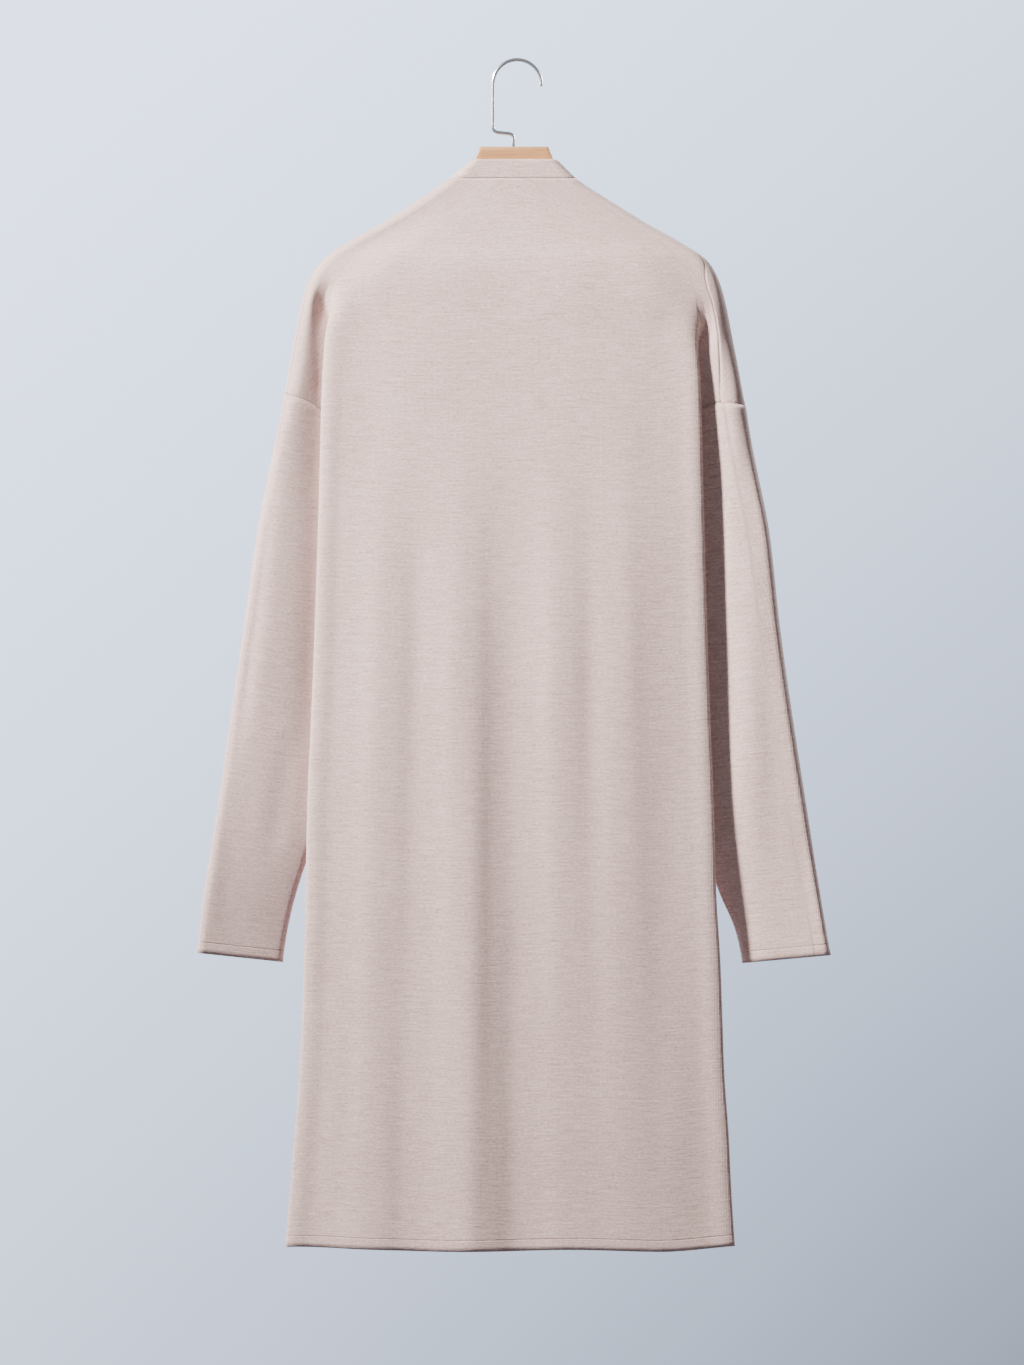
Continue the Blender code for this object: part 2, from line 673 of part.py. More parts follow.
def build_wood():
    """Flat wooden hanger: rounded cross cuts from tip to tip, with a hole for the wire."""
    outs = np.concatenate([WOOD["out"], np.linspace(70, 165, 7)])
    outs = np.unique(outs)
    outs = np.concatenate([-outs[:0:-1], outs])
    corner = np.array([(1, 1), (-1, 1), (-1, -1), (1, -1)])
    mesh = bmesh.new()
    loops = []
    for out in outs:
        top = float(np.interp(abs(out), WOOD["out"], WOOD["top"]))
        bottom = float(np.interp(abs(out), WOOD["out"], WOOD["bottom"]))
        tall = (top - bottom) / 2
        thick = WOOD_THICK / 2 * min(1, 0.55 + tall / 20)
        turn = min(4.6, tall - 0.2, thick - 0.2)
        loop = []
        for n, (side_y, side_z) in enumerate(corner):
            for a in np.radians(n * 90 + np.array([0, 45, 90])):
                y = side_y * (thick - turn) + turn * np.cos(a)
                z = (top + bottom) / 2 + side_z * (tall - turn) + turn * np.sin(a)
                loop.append(mesh.verts.new(((MIDDLE + out) * MM, y * MM, z * MM)))
        loops.append(loop)
    for one, after in zip(loops[:-1], loops[1:]):
        for i in range(12):
            mesh.faces.new((one[i], one[(i + 1) % 12], after[(i + 1) % 12], after[i]))
    mesh.faces.new(loops[0])
    mesh.faces.new(loops[-1])
    bmesh.ops.recalc_face_normals(mesh, faces=mesh.faces)
    data = bpy.data.meshes.new("hanger_wood")
    mesh.to_mesh(data)
    mesh.free()
    wood = bpy.data.objects.new("hanger_wood", data)
    garment.objects.link(wood)
    bpy.ops.mesh.primitive_cylinder_add(
        vertices=20,
        radius=(WIRE / 2 + 0.3) * MM,
        depth=30 * MM,
        location=(-3.6 * MM, 0, -81.3 * MM),
    )
    drill = bpy.context.object
    drill.name = "wire_hole"
    for held in drill.users_collection:
        held.objects.unlink(drill)
    cutters.objects.link(drill)
    hole = wood.modifiers.new("wire_hole", "BOOLEAN")
    hole.operation = "DIFFERENCE"
    hole.solver = "EXACT"
    hole.object = drill
    drill.hide_render = True
    drill.display_type = "WIRE"
    return wood


def build_hook():
    """Bent wire: down into the wood, a crank to the left, up, and over in a round hook."""
    radius = 20.9 + WIRE / 2
    arc = np.radians(np.linspace(-6, 180, 32))
    points = [(radius * np.cos(a), radius * np.sin(a) - 20.9) for a in arc]
    points.append((-22.8, -60.5))
    points += bend((-22.8, -66.0), (0, 1), (0.97, -0.14), 5.0)
    points += bend((-3.6, -68.4), (-0.97, 0.14), (0, -1), 4.0)
    points += [(-3.6, -75.0), (-3.6, -95.5)]
    curve = bpy.data.curves.new("hanger_hook", "CURVE")
    curve.dimensions = "3D"
    curve.bevel_depth = WIRE / 2 * MM
    curve.bevel_resolution = 2
    curve.use_fill_caps = True
    line = curve.splines.new("POLY")
    line.points.add(len(points) - 1)
    for point, (x, z) in zip(line.points, points):
        point.co = (x * MM, 0, z * MM, 1)
    hook = bpy.data.objects.new("hanger_hook", curve)
    garment.objects.link(hook)
    return hook


def bend(corner, before, after, size):
    """A rounded corner of the wire, as five points."""
    corner, before, after = (np.array(v, float) for v in (corner, before, after))
    start, end = corner + before * size, corner + after * size
    t = np.linspace(0, 1, 5)[:, None]
    return [tuple(p) for p in (1 - t) ** 2 * start + 2 * t * (1 - t) * corner + t * t * end]


def material(name, colour, rough, metal=0.0):
    made = bpy.data.materials.new(name)
    made.use_nodes = True
    shader = made.node_tree.nodes["Principled BSDF"]
    shader.inputs["Base Color"].default_value = (*colour, 1.0)
    shader.inputs["Roughness"].default_value = rough
    shader.inputs["Metallic"].default_value = metal
    return made


for old in list(bpy.data.objects):
    bpy.data.objects.remove(old, do_unlink=True)
garment = bpy.data.collections.new("tunic cardigan on a wooden hanger")
cutters = bpy.data.collections.new("cutters")
bpy.context.scene.collection.children.link(garment)
bpy.context.scene.collection.children.link(cutters)
cutters.hide_render = True

knit = [build_back(), build_front("left"), build_front("right")]
knit += [build_sleeve("left"), build_sleeve("right"), build_band()]
for n, piece in enumerate(knit):
    piece.data.materials.append(material("knit_" + piece.name, (0.68, 0.58, 0.55), 0.9))
wood = build_wood()
wood.data.materials.append(material("pale_wood", (0.60, 0.40, 0.25), 0.45))
hook = build_hook()
hook.data.materials.append(material("chrome_wire", (0.75, 0.75, 0.76), 0.2, 1.0))
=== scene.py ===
# %% [markdown]
# # A tunic cardigan on a wooden hanger
#
# The real thing is a long, fine-knit cardigan, open in front, with drop shoulders. It hangs flat
# on a wooden hanger and is seen from behind, as in the photo.
#
# Cloth like this could be draped by a simulation, but then its folds would fall where they like.
# Here each cloth piece is worked out as a grid of points on the middle of its wall, with the
# folds that the photo shows. It has the same form as its CAD solid. The grid is then made finer,
# given its soft creases and thickened. The hanger is wood and wire.
#
# Numbers are in millimetres until a mesh is made. X runs to the wearer's right, +Y to the
# garment's front and Z up, and the origin is the inside top of the hook.

import bpy
import numpy as np
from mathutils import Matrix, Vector


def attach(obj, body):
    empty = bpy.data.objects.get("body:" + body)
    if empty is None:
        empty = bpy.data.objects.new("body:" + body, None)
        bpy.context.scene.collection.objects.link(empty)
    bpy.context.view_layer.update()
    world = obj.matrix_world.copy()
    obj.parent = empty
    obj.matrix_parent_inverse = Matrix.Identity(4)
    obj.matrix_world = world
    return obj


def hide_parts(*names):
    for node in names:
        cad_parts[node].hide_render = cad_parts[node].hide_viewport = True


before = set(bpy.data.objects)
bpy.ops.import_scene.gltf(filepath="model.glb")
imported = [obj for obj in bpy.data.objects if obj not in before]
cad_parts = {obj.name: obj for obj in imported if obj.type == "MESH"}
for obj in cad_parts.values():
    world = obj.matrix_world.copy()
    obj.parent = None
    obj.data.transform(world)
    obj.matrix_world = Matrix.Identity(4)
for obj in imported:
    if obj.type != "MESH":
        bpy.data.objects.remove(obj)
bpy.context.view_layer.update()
print("CAD nodes:", ", ".join(sorted(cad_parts)))

# %% [markdown]
# ## Sizes
#
# The hanger gives the scale of the whole: its cloth, seams and hems are measured from the hook
# down. "w" is always the distance out from the hanger's middle, to either side.

# %% Sizes
MM = 0.001
CLOTH = 1.8  # wall of the knit
MIDDLE = -2.8  # X of the hanger's middle
EYE = (-4.7, -583.7, 2600.0)  # X, Z and distance of the photo's camera
NECK_TOP = -93.5
SEAM_TOP = -111.4  # back neck seam
UNDERARM = -402.8
UNDERARM_OUT = 107.0  # the underarm's distance out
ARMHOLE_WIDE = 109.0  # from the outline in to the underarm
FRONT_HEM = -1112.0
BACK_HEM = -1118.0
TURN = 3.0  # roundness of the cloth where the sleeve's pocket folds
SIDES = {"left": -1, "right": 1}
SIGNS = {"back": -1, "front": 1}  # which way each face of the cloth lies in Y


def table(names, *rows):
    """A dict of named columns."""
    return dict(zip(names.split(), np.array(rows, float).T))


print("back is", round(NECK_TOP - BACK_HEM), "mm long, with its band")

# %% [markdown]
# ## The body's outline and edges
#
# The outline of the shoulders was measured in the photo, a row for each height. How far the
# cloth bulges there is a second table. Below the shoulder each side of the body folds over its
# sleeve, and the third table says where that fold lies. Short tables keep every measure in
# sight, where a long list of points would hide it.

# %% Outline and edges
# Outline from the neck to the end of the shoulder, for each side.
OUTER = table(
    "height left right",
    (-93.5, 40.0, 41.0),
    (-102.0, 49.0, 49.0),
    (-111.4, 62.0, 59.5),
    (-130.0, 89.0, 88.0),
    (-158.0, 134.0, 133.5),
    (-177.0, 167.0, 167.0),
    (-187.0, 180.5, 181.5),
    (-196.0, 189.5, 188.5),
    (-206.0, 194.6, 193.6),
    (-224.0, 200.0, 199.3),
    (-262.0, 208.0, 207.0),
    (-320.0, 217.5, 217.0),
    (-403.0, 234.0, 234.0),
)

# How far the cloth bulges each way at the outline, its roundness there and how far
# the shoulder seam lies behind the outline.
ROUND = table(
    "height back front turn seam_left seam_right belly",
    (-93.5, 8.4, 8.4, 6.0, 0.3, 0.3, 0.2),
    (-111.4, 8.5, 8.5, 12.0, 0.3, 0.3, 0.5),
    (-130.0, 8.6, 8.6, 15.0, 0.3, 0.3, 1.0),
    (-175.0, 9.4, 9.0, 15.0, 1.0, 0.6, 5.0),
    (-196.0, 11.0, 9.0, 12.5, 2.0, 8.0, 7.5),
    (-208.0, 11.8, 9.0, 11.6, 2.6, 13.5, 7.2),
    (-224.0, 12.6, 9.0, 11.0, 3.0, 13.0, 7.0),
    (-262.0, 13.0, 8.5, 11.0, 3.0, 13.2, 7.5),
    (-292.0, 13.0, 8.3, 11.0, 3.0, 18.0, 8.3),
    (-320.0, 13.0, 8.0, 11.0, 3.0, 21.0, 9.0),
)

# Edges of the body where it folds over the sleeve, the side seam, and how deep they lie.
BODY = table(
    "height left right front side edge under seam middle",
    (-205.0, 179.8, 175.5, 176.0, 107.0, -14.3, -7.5, 0.0, 18.6),
    (-252.0, 180.4, 175.5, 176.0, 107.0, -14.3, -7.5, 0.0, 19.2),
    (-365.0, 182.3, 177.2, 176.0, 107.0, -14.3, -7.5, 0.0, 20.4),
    (-478.0, 185.5, 180.0, 173.0, 109.0, -14.3, -7.5, 0.0, 21.4),
    (-591.0, 189.6, 183.5, 170.0, 113.0, -14.0, -7.3, 0.0, 22.0),
    (-704.0, 194.5, 188.0, 168.0, 119.0, -13.5, -7.0, 0.0, 21.4),
    (-788.0, 196.2, 190.5, 171.0, 127.0, -12.5, -6.5, 0.4, 21.0),
    (-863.0, 198.2, 195.0, 177.0, 136.0, -11.0, -5.5, 1.2, 19.8),
    (-939.0, 201.2, 197.3, 185.0, 146.0, -9.0, -4.0, 2.2, 18.4),
    (-1014.0, 206.7, 202.3, 193.0, 157.0, -7.0, -2.0, 3.0, 17.5),
    (-1070.0, 211.2, 204.8, 199.0, 165.0, -5.5, -0.5, 3.6, 16.5),
    (-1117.0, 215.2, 207.8, 204.0, 172.0, -4.5, 0.5, 4.0, 16.0),
)
print("outline rows:", len(OUTER["height"]), "edge rows:", len(BODY["height"]))

# %% [markdown]
# ## Sleeves and the pocket behind them
#
# A drop shoulder runs out past the hanger, so the sleeve hangs close to the body and the body's
# side folds over it. Between them lies a narrow pocket. These tables give how deep the sleeve's
# back sinks beside the body's edge, where the pocket ends, the armhole seam, and the sleeve's
# two edges down to its cuff.

# %% Sleeves and pocket
# How far behind the middle the sleeve's back lies, where it meets the body's edge.
VALLEY = table(
    "height left right",
    (-240.0, 7.0, 7.3),
    (-290.0, 4.8, 6.5),
    (-318.0, 4.0, 4.0),
    (-350.0, 3.0, 1.0),
    (-400.0, 1.8, 0.0),
    (-560.0, 1.2, 0.0),
    (-640.0, 3.2, 1.2),
    (-720.0, 7.3, 5.4),
)

# The inner end of the pocket between body and sleeve, and how far it has opened.
POCKET = table(
    "height left right opened_left opened_right",
    (-205.0, 170.0, 166.0, 0.0, 0.0),
    (-224.0, 168.0, 164.0, 0.2, 0.0),
    (-252.0, 160.0, 157.0, 0.8, 0.4),
    (-264.0, 156.0, 154.0, 1.0, 0.8),
    (-282.0, 147.0, 148.0, 1.0, 1.0),
    (-318.0, 134.5, 134.0, 1.0, 1.0),
    (-365.0, 120.0, 120.0, 1.0, 1.0),
    (-403.0, 107.0, 107.0, 1.0, 1.0),
)

# Height of the armhole seam, from the outline in to the underarm, behind and in front.
ARMHOLE = table(
    "inward left right left_front right_front",
    (0.0, -311.6, -323.5, -311.6, -323.5),
    (12.0, -315.0, -321.5, -315.0, -327.0),
    (25.0, -320.5, -320.5, -320.5, -332.0),
    (38.0, -328.0, -324.0, -328.0, -338.0),
    (60.0, -344.5, -341.0, -344.5, -350.5),
    (85.0, -371.0, -368.0, -371.0, -373.0),
    (110.0, -402.8, -402.8, -402.8, -402.8),
    (114.0, -402.8, -402.8, -402.8, -402.8),
)

# Outer and inner edges of each sleeve from its seam to the cuff.
SLEEVE = table(
    "share left_out left_out_z left_in left_in_z right_out right_out_z right_in right_in_z",
    (0.00, 217.0, -311.6, 107.0, -402.8, 220.5, -323.5, 107.0, -402.8),
    (0.12, 228.0, -371.0, 122.0, -450.0, 227.5, -375.0, 121.0, -450.0),
    (0.25, 240.5, -435.0, 137.0, -506.0, 240.0, -440.0, 136.0, -506.0),
    (0.42, 253.5, -525.0, 154.0, -580.0, 250.0, -530.0, 150.0, -580.0),
    (0.58, 266.0, -610.0, 169.0, -655.0, 262.0, -615.0, 164.0, -655.0),
    (0.72, 276.0, -683.0, 185.0, -722.0, 273.0, -686.0, 176.0, -722.0),
    (0.86, 287.5, -758.0, 205.0, -785.0, 284.5, -759.0, 193.0, -785.0),
    (0.94, 294.5, -803.0, 213.0, -820.0, 292.0, -805.0, 209.0, -820.0),
    (1.00, 298.0, -838.0, 217.0, -846.4, 298.0, -840.0, 214.3, -847.4),
)
print("sleeve rows:", len(SLEEVE["share"]), "armhole rows:", len(ARMHOLE["inward"]))

# %% [markdown]
# ## Folds, band and hanger
#
# Four soft folds run down the back, each a bell-shaped ridge whose place moves a little from
# top to hem. The narrow band follows the neck and both front edges. The wooden hanger has one
# height for its upper and one for its lower edge at each distance out.

# %% Folds, band and hanger
# Soft folds down the back: X at top and hem, width to each side, and depth at three heights.
FOLDS = table(
    "top hem wide_left wide_right at_550 at_850 at_hem",
    (-131.0, -140.0, 21.0, 18.0, 6.0, 4.0, 2.5),
    (-54.0, -42.0, 25.0, 19.0, 7.0, 9.5, 9.0),
    (38.0, 44.0, 17.0, 18.0, 5.5, 3.5, 2.5),
    (102.0, 92.0, 19.0, 21.0, 4.0, 3.0, 2.0),
)

# Soft folds down the fronts: distance out, width and depth.
FRONT_FOLDS = table(
    "out wide deep",
    (60.0, 18.0, 4.0),
    (115.0, 22.0, 5.0),
)

# Inner edge of the front band, and its outer edge where the fronts join it.
BAND = table(
    "height inner",
    (-93.5, 40.5),
    (-112.0, 41.0),
    (-150.0, 38.0),
    (-250.0, 28.0),
    (-350.0, 17.0),
    (-450.0, 12.0),
    (-700.0, 11.0),
    (-1117.0, 13.0),
)
BAND_SEAM = table(
    "height outer",
    (-111.4, 61.0),
    (-120.0, 59.5),
    (-135.0, 57.5),
    (-150.0, 55.5),
    (-250.0, 45.5),
    (-350.0, 34.5),
    (-450.0, 29.5),
    (-700.0, 28.5),
    (-1117.0, 30.5),
)

# Upper and lower edge of the wooden hanger, from its middle to its tip.
WOOD = table(
    "out top bottom",
    (0.0, -80.3, -146.0),
    (32.0, -80.3, -143.0),
    (38.2, -93.6, -141.0),
    (43.0, -100.5, -140.5),
    (49.0, -106.5, -141.0),
    (62.0, -116.3, -146.0),
    (89.0, -134.6, -161.0),
    (134.0, -162.4, -185.0),
    (158.0, -177.0, -198.0),
    (170.0, -185.5, -203.5),
    (176.0, -190.5, -203.5),
    (178.5, -194.5, -201.5),
)
print("folds down the back:", len(FOLDS["top"]))

# %% [markdown]
# ## Curves through the tables
#
# Hanging cloth has no corners in its outline. Straight lines between the rows would show as
# creases, and a plain spline would swing past them. So read() goes through the rows with a
# cubic that is smooth and never leaves them. The two curves before it blend one stretch into
# the next: a soft step, and a quarter circle where cloth turns round an edge.

# %% Curves
def ease(t):
    """A soft step from 0 to 1: three times the square less twice the cube."""
    t = np.clip(t, 0, 1)
    return t * t * (3 - 2 * t)


def cap(t):
    """Quarter circle from 0 at the edge to 1."""
    t = np.clip(t, 0, 1)
    return np.sqrt(1 - (1 - t) ** 2)


def between(start, end, share):
    """From start to end by the soft step of a share."""
    return start + (end - start) * ease(share)


def read(rows, name, at):
    """A column of a table at any height, smooth between its rows and never past them.

    The slope at a row is the harmonic mean of the two beside it, or none at a peak.
    """
    key = next(iter(rows))
    x, y = rows[key], rows[name]
    if x[0] > x[-1]:
        x, at = -x, -np.asarray(at, float)
    step = np.diff(x)
    rise = np.diff(y) / step
    slope = np.concatenate([rise[:1], np.zeros(len(x) - 2), rise[-1:]])
    same = rise[:-1] * rise[1:] > 0
    both = rise[:-1] + rise[1:]
    slope[1:-1][same] = (2 * rise[:-1] * rise[1:])[same] / both[same]
    at = np.clip(at, x[0], x[-1])
    i = np.clip(np.searchsorted(x, at) - 1, 0, len(step) - 1)
    t = (at - x[i]) / step[i]
    start = y[i] * (1 + 2 * t) * (1 - t) ** 2 + slope[i] * step[i] * t * (1 - t) ** 2
    end = y[i + 1] * t * t * (3 - 2 * t) - slope[i + 1] * step[i] * t * t * (1 - t)
    return start + end


def closing(z, over):
    """1 well above the underarm, rounding off to 0 at it."""
    return cap((z - UNDERARM) / over)


def outline(side, z):
    """Distance out to the middle of the cloth's wall, at its outline."""
    return read(OUTER, side, z) - CLOTH / 2


print("outline at -200 mm:", {side: round(float(outline(side, -200.0)), 1) for side in SIDES})

# %% [markdown]
# ## Depths of the cloth
#
# Each function here gives Y for one stretch of the cloth, from its distance out and its height:
# the wing that runs out into the sleeve, the smooth upper part, and the broad face with its
# folds. Sums of soft steps are enough, since the cloth lies nearly flat.

# %% Depths of the upper part
EDGE_DEEPER = 1.5  # the back's edge fold lies this much behind the table's depth
BACK_TURN, FRONT_TURN = 2.5, 3.0  # roundness of the edge folds
FRONT_EDGE, FRONT_UNDER = 11.0, 7.5  # depth of the front's edge fold and of its turned-in layer
FRONT_NEAR = 4.6  # depth of the wing's front beside the body's edge
POCKET_END, END_CLOSES = 3.5, 20.0  # the wing's depth at the pocket's end, closing over 20 mm
VALLEY_WIDE = {"left": 46.0, "right": 44.0}  # how far out from the edge the cloth starts to sink
VALLEY_IN = 2.0  # its lowest line lies this far outside the edge
WING_DIP = 1.6  # how late the wing sinks
EARLY, EARLY_RUN = 0.35, 0.25  # how much of it comes early on the left
BELLY_RUN, FRONT_BELLY = 60.0, 0.6  # how far in the belly grows, and the front's share of it


def dip(side, t, power):
    """How far the cloth has sunk towards the body's edge, from 0 at its outer part to 1.

    On the right a soft step. On the left a small early part and a late power of the share.
    """
    t = np.clip(t, 0, 1)
    if side == "right":
        return ease(t)
    return EARLY * ease(t / EARLY_RUN) * t + (1 - EARLY) * t**power


def edge_of(side, face, z):
    """Outermost reach of the body's fold, its depth and its roundness."""
    if face == "back":
        return read(BODY, side, z) - CLOTH / 2, read(BODY, "edge", z) - EDGE_DEEPER, BACK_TURN
    return read(BODY, "front", z), np.full_like(z, FRONT_EDGE), FRONT_TURN


def under_of(face, z):
    """Depth of the layer turned in under the fold."""
    return read(BODY, "under", z) if face == "back" else np.full_like(z, FRONT_UNDER)


def wing(side, face, w, z):
    """Depth of the cloth that runs out over the shoulder's end and into the sleeve.

    A round edge, then the broad depth, sinking towards the body's edge and on to the pocket's.
    """
    near = read(VALLEY, side, z) if face == "back" else FRONT_NEAR
    out, turn = outline(side, z), read(ROUND, "turn", z)
    edge = edge_of(side, "back", z)[0] + VALLEY_IN
    inner = read(POCKET, side, z) + TURN
    far = read(ROUND, face, z)
    ends = POCKET_END * closing(z, END_CLOSES)
    start = out - turn
    if face == "back":
        start = np.minimum(start, edge + VALLEY_WIDE[side])
    sunk = (start - w) / (start - edge)
    depth = far + (near - far) * (dip(side, sunk, WING_DIP) if face == "back" else ease(sunk))
    depth += (ends - near) * ease((edge - w) / (edge - inner))
    return SIGNS[face] * depth * cap((out - w) / turn)


def plain(side, face, w, z):
    """Depth of the smooth upper part: a round edge, then a belly growing towards the middle."""
    inside = outline(side, z) - w
    turn = read(ROUND, "turn", z)
    belly = read(ROUND, "belly", z) * (1.0 if face == "back" else FRONT_BELLY)
    return SIGNS[face] * (
        read(ROUND, face, z) * cap(inside / turn) + belly * ease((inside - turn) / BELLY_RUN)
    )


at_shoulder = wing("right", "back", np.array([195.0]), np.array([-300.0]))
print("depth of the wing behind the right armhole:", at_shoulder.round(1))

# %% Depth of the broad face
FOLD_TOP = -330.0  # where the folds start
FOLD_RUN, FRONT_FOLD_RUN = -787.0, -500.0  # how far down the back's shift and the fronts' grow
FOLD_HEIGHTS = (330, 550, 850, 1117)
FACE_RUN, FRONT_CROWN = 85.0, 2.0  # how far in from the fold the face levels, and the front's crown


def folds(x, z):
    """Depth that the soft folds add to the back: a bell round each fold's line."""
    total = np.zeros_like(x)
    share = ease((z - FOLD_TOP) / FOLD_RUN)
    for top, hem, left, right, mid, low, end in zip(*FOLDS.values()):
        off = x - (top + (hem - top) * share)
        height = np.interp(-z, FOLD_HEIGHTS, (0, mid, low, end))
        total += height * np.exp(-0.5 * (off / np.where(off < 0, left, right)) ** 2)
    return total


def front_folds(w, z):
    """The same for the fronts, with folds that hang straight down."""
    total = np.zeros_like(w)
    grown = ease((z - FOLD_TOP) / FRONT_FOLD_RUN)
    for out, wide, deep in zip(*FRONT_FOLDS.values()):
        total += deep * grown * np.exp(-0.5 * ((w - out) / wide) ** 2)
    return total


def face_depth(side, face, w, z):
    """Depth of the body's broad face: from its edge fold it rises softly to its full depth."""
    edge, at, turn = edge_of(side, face, z)
    inside = ease((edge - turn - w) / FACE_RUN)
    if face == "front":
        return at + turn + FRONT_CROWN * inside + front_folds(w, z) * inside
    x = MIDDLE + SIDES[side] * w
    return at - turn - inside * (read(BODY, "middle", z) + at - turn + folds(x, z))


hem_middle = face_depth("left", "back", np.array([0.0]), np.array([-1000.0]))
print("depth at the middle of the back, near the hem:", hem_middle.round(1))

# %% [markdown]
# ## Lines round the folds
#
# Seen from above, the cloth of one side runs from its seam over the wing, round the inner end
# of the pocket, back out under itself and round the edge fold. That is one line with many
# points. It is drawn densely first, and then a row takes its points from it at chosen shares of
# its length, so that every fold has enough of them.

# %% Lines round the folds
POCKET_CLOSES, POCKET_TIP = 25.0, 5.5  # the pocket's inner fold closes over 25 mm, and its depth
LEAST_TURN, LEAST_UNDER_TURN = 0.05, 1.0  # roundness left where the pocket has closed
SIDE_TURN = 4.0  # roundness at the side seam
WRAP_POINTS, WING_POINTS, TURN_POINTS = 15, 60, 12  # points of the dense line's parts
# Shares of the way from the seam's height to the row's own: over the wing, and where each
# quarter circle starts and how much it adds for each radian.
WING_FALL = 0.5
LOW_TURN, HIGH_TURN = (0.5, 0.03), (0.55, 0.06)


def under_layer(side, face, start, z_start, z_body):
    """The turned-in layer, from the inner fold out to the edge fold, by a soft step."""
    t = np.linspace(0, 1, 30)[1:]
    z = between(z_start, z_body, t)
    edge, at, turn = edge_of(side, face, z)
    upper = under_of(face, z)
    w = start + (edge - turn - start) * t
    return w, between(upper, at - SIGNS[face] * turn, t), z


def pocket_line(side, face, start, z_seam, z_body, seam_behind):
    """Dense line from the seam over the wing, round the pocket's end and out to the edge.

    The pocket's end is two quarter circles, one above the other.
    """
    t = np.linspace(0, 1, WING_POINTS)
    z = between(z_seam, z_body, WING_FALL * t)
    turn = TURN * closing(z, POCKET_CLOSES) + LEAST_TURN
    w = start + (read(POCKET, side, z) + turn - start) * t
    lines = [(w, wing(side, face, w, z), z)]
    if seam_behind > 0:
        w = outline(side, z_seam) - np.linspace(seam_behind, 0, WRAP_POINTS)
        z = np.full_like(w, z_seam)
        lines = [(w, wing(side, "back", w, z), z)] + lines
    a = np.linspace(0, np.pi / 2, TURN_POINTS)[1:]
    z = between(z_seam, z_body, LOW_TURN[0] + LOW_TURN[1] * a)
    inner, turn = read(POCKET, side, z), TURN * closing(z, POCKET_CLOSES) + LEAST_TURN
    low, tip = wing(side, face, inner + turn, z), SIGNS[face] * POCKET_TIP * closing(z, POCKET_CLOSES)
    lines.append((inner + turn * (1 - np.sin(a)), tip + (low - tip) * np.cos(a), z))
    z = between(z_seam, z_body, HIGH_TURN[0] + HIGH_TURN[1] * a)
    inner, turn = read(POCKET, side, z), TURN * closing(z, POCKET_CLOSES) + LEAST_UNDER_TURN
    tip, upper = SIGNS[face] * POCKET_TIP * closing(z, POCKET_CLOSES), under_of(face, z)
    lines.append((inner + turn * (1 - np.cos(a)), tip + (upper - tip) * np.sin(a), z))
    lines.append(under_layer(side, face, lines[-1][0][-1], z[-1], z_body))
    return [np.concatenate(part) for part in zip(*lines)]


def side_line(side, face, z_body):
    """Dense line from the side seam round a quarter circle and out to the edge fold."""
    a = np.linspace(0, np.pi / 2, 14)
    z = np.full_like(a, z_body)
    start, tip = read(BODY, "side", z), read(BODY, "seam", z)
    w = start + SIDE_TURN * (1 - np.cos(a))
    y = tip + (under_of(face, z) - tip) * np.sin(a)
    rest = under_layer(side, face, w[-1], z_body, z_body)
    return [np.concatenate(part) for part in zip((w, y, z), rest)]


def run_of(line):
    """Length of a line from its start to each of its points."""
    return np.concatenate([[0], np.cumsum(np.linalg.norm(np.diff(line), axis=0))])


def spaced(line, stops):
    """Points of a line at shares of its length."""
    line = np.array(line)
    run = run_of(line)
    return np.array([np.interp(np.array(stops) * run[-1], run, part) for part in line])


side_length = run_of(np.array(side_line("left", "back", -600.0)))[-1]
print("the turned-in layer is", round(side_length), "mm wide at -600 mm")

# %% [markdown]
# ## Where a row has its points
#
# A grid needs the same number of points in every row. So each side and face has its own list of
# shares: behind the outline, over the wing and along the armhole seam. They lie close together
# where the cloth bends most, beside the outline and at the body's edge.

# %% Stops
# Heights of the rows above the armhole seam.
TOP_ROWS = np.array([-111.4, -118, -127, -139, -154, -172, -190, -207, -228, -252, -281, -316.0])
LOW_SHARES = np.linspace(0, 1, 14)  # rows from the underarm to the hem
EDGE_TURN = np.linspace(0, np.pi, 5)

# Where a row has its points: behind the outline, over the wing, and along the armhole seam.
WRAP_STOPS = {
    ("left", "back"): (),
    ("right", "back"): (),
    ("left", "front"): (1, 0.3),
    ("right", "front"): (1, 0.55, 0.2),
}
WING_STOPS = {
    ("left", "back"): (0, 0.05, 0.12, 0.19, 0.26, 0.33, 0.4, 0.47, 0.6, 0.8, 1),
    ("right", "back"): (0, 0.1, 0.2, 0.28, 0.36, 0.44, 0.52, 0.6, 0.7, 0.85, 1),
    ("left", "front"): (0, 0.03, 0.08, 0.16, 0.4, 0.7, 1),
    ("right", "front"): (0, 0.05, 0.13, 0.4, 0.7, 1),
}
RING_STOPS = {
    ("left", "back"): (0, 0.02, 0.05, 0.11, *np.linspace(0.18, 0.8, 12), 0.9, 0.955, 1),
    ("right", "back"): (0, 0.02, 0.05, 0.11, *np.linspace(0.18, 0.8, 12), 0.88, 0.945, 1),
    ("left", "front"): (0, 0.02, 0.06, 0.12, 0.33, 0.6, 0.87, 0.955, 1),
    ("right", "front"): (0, 0.03, 0.1, 0.33, 0.6, 0.87, 0.955, 1),
}
print("points over the wing:", {" ".join(key): len(stops) for key, stops in WING_STOPS.items()})

# %% [markdown]
# ## Rows
#
# A row of the back or of a front starts at its seam and ends at the middle or at the band. High
# up it is a plain curve. Below the shoulder it goes round the pocket and the edge fold, and in
# between the one is blended into the other, as the pocket opens. Next to the sleeve a row
# starts at the armhole seam, and below the underarm at the side seam.

# %% Points of a row
WING_SHARE = 0.10  # of the plain row's width, up to where the wing's points end
PAST_WING = 0.08  # share of the rest over which its further points are spread
NO_LENGTH = 1e-9
SIDE_RUN = 160.0  # height under the underarm in which the side line's points spread out


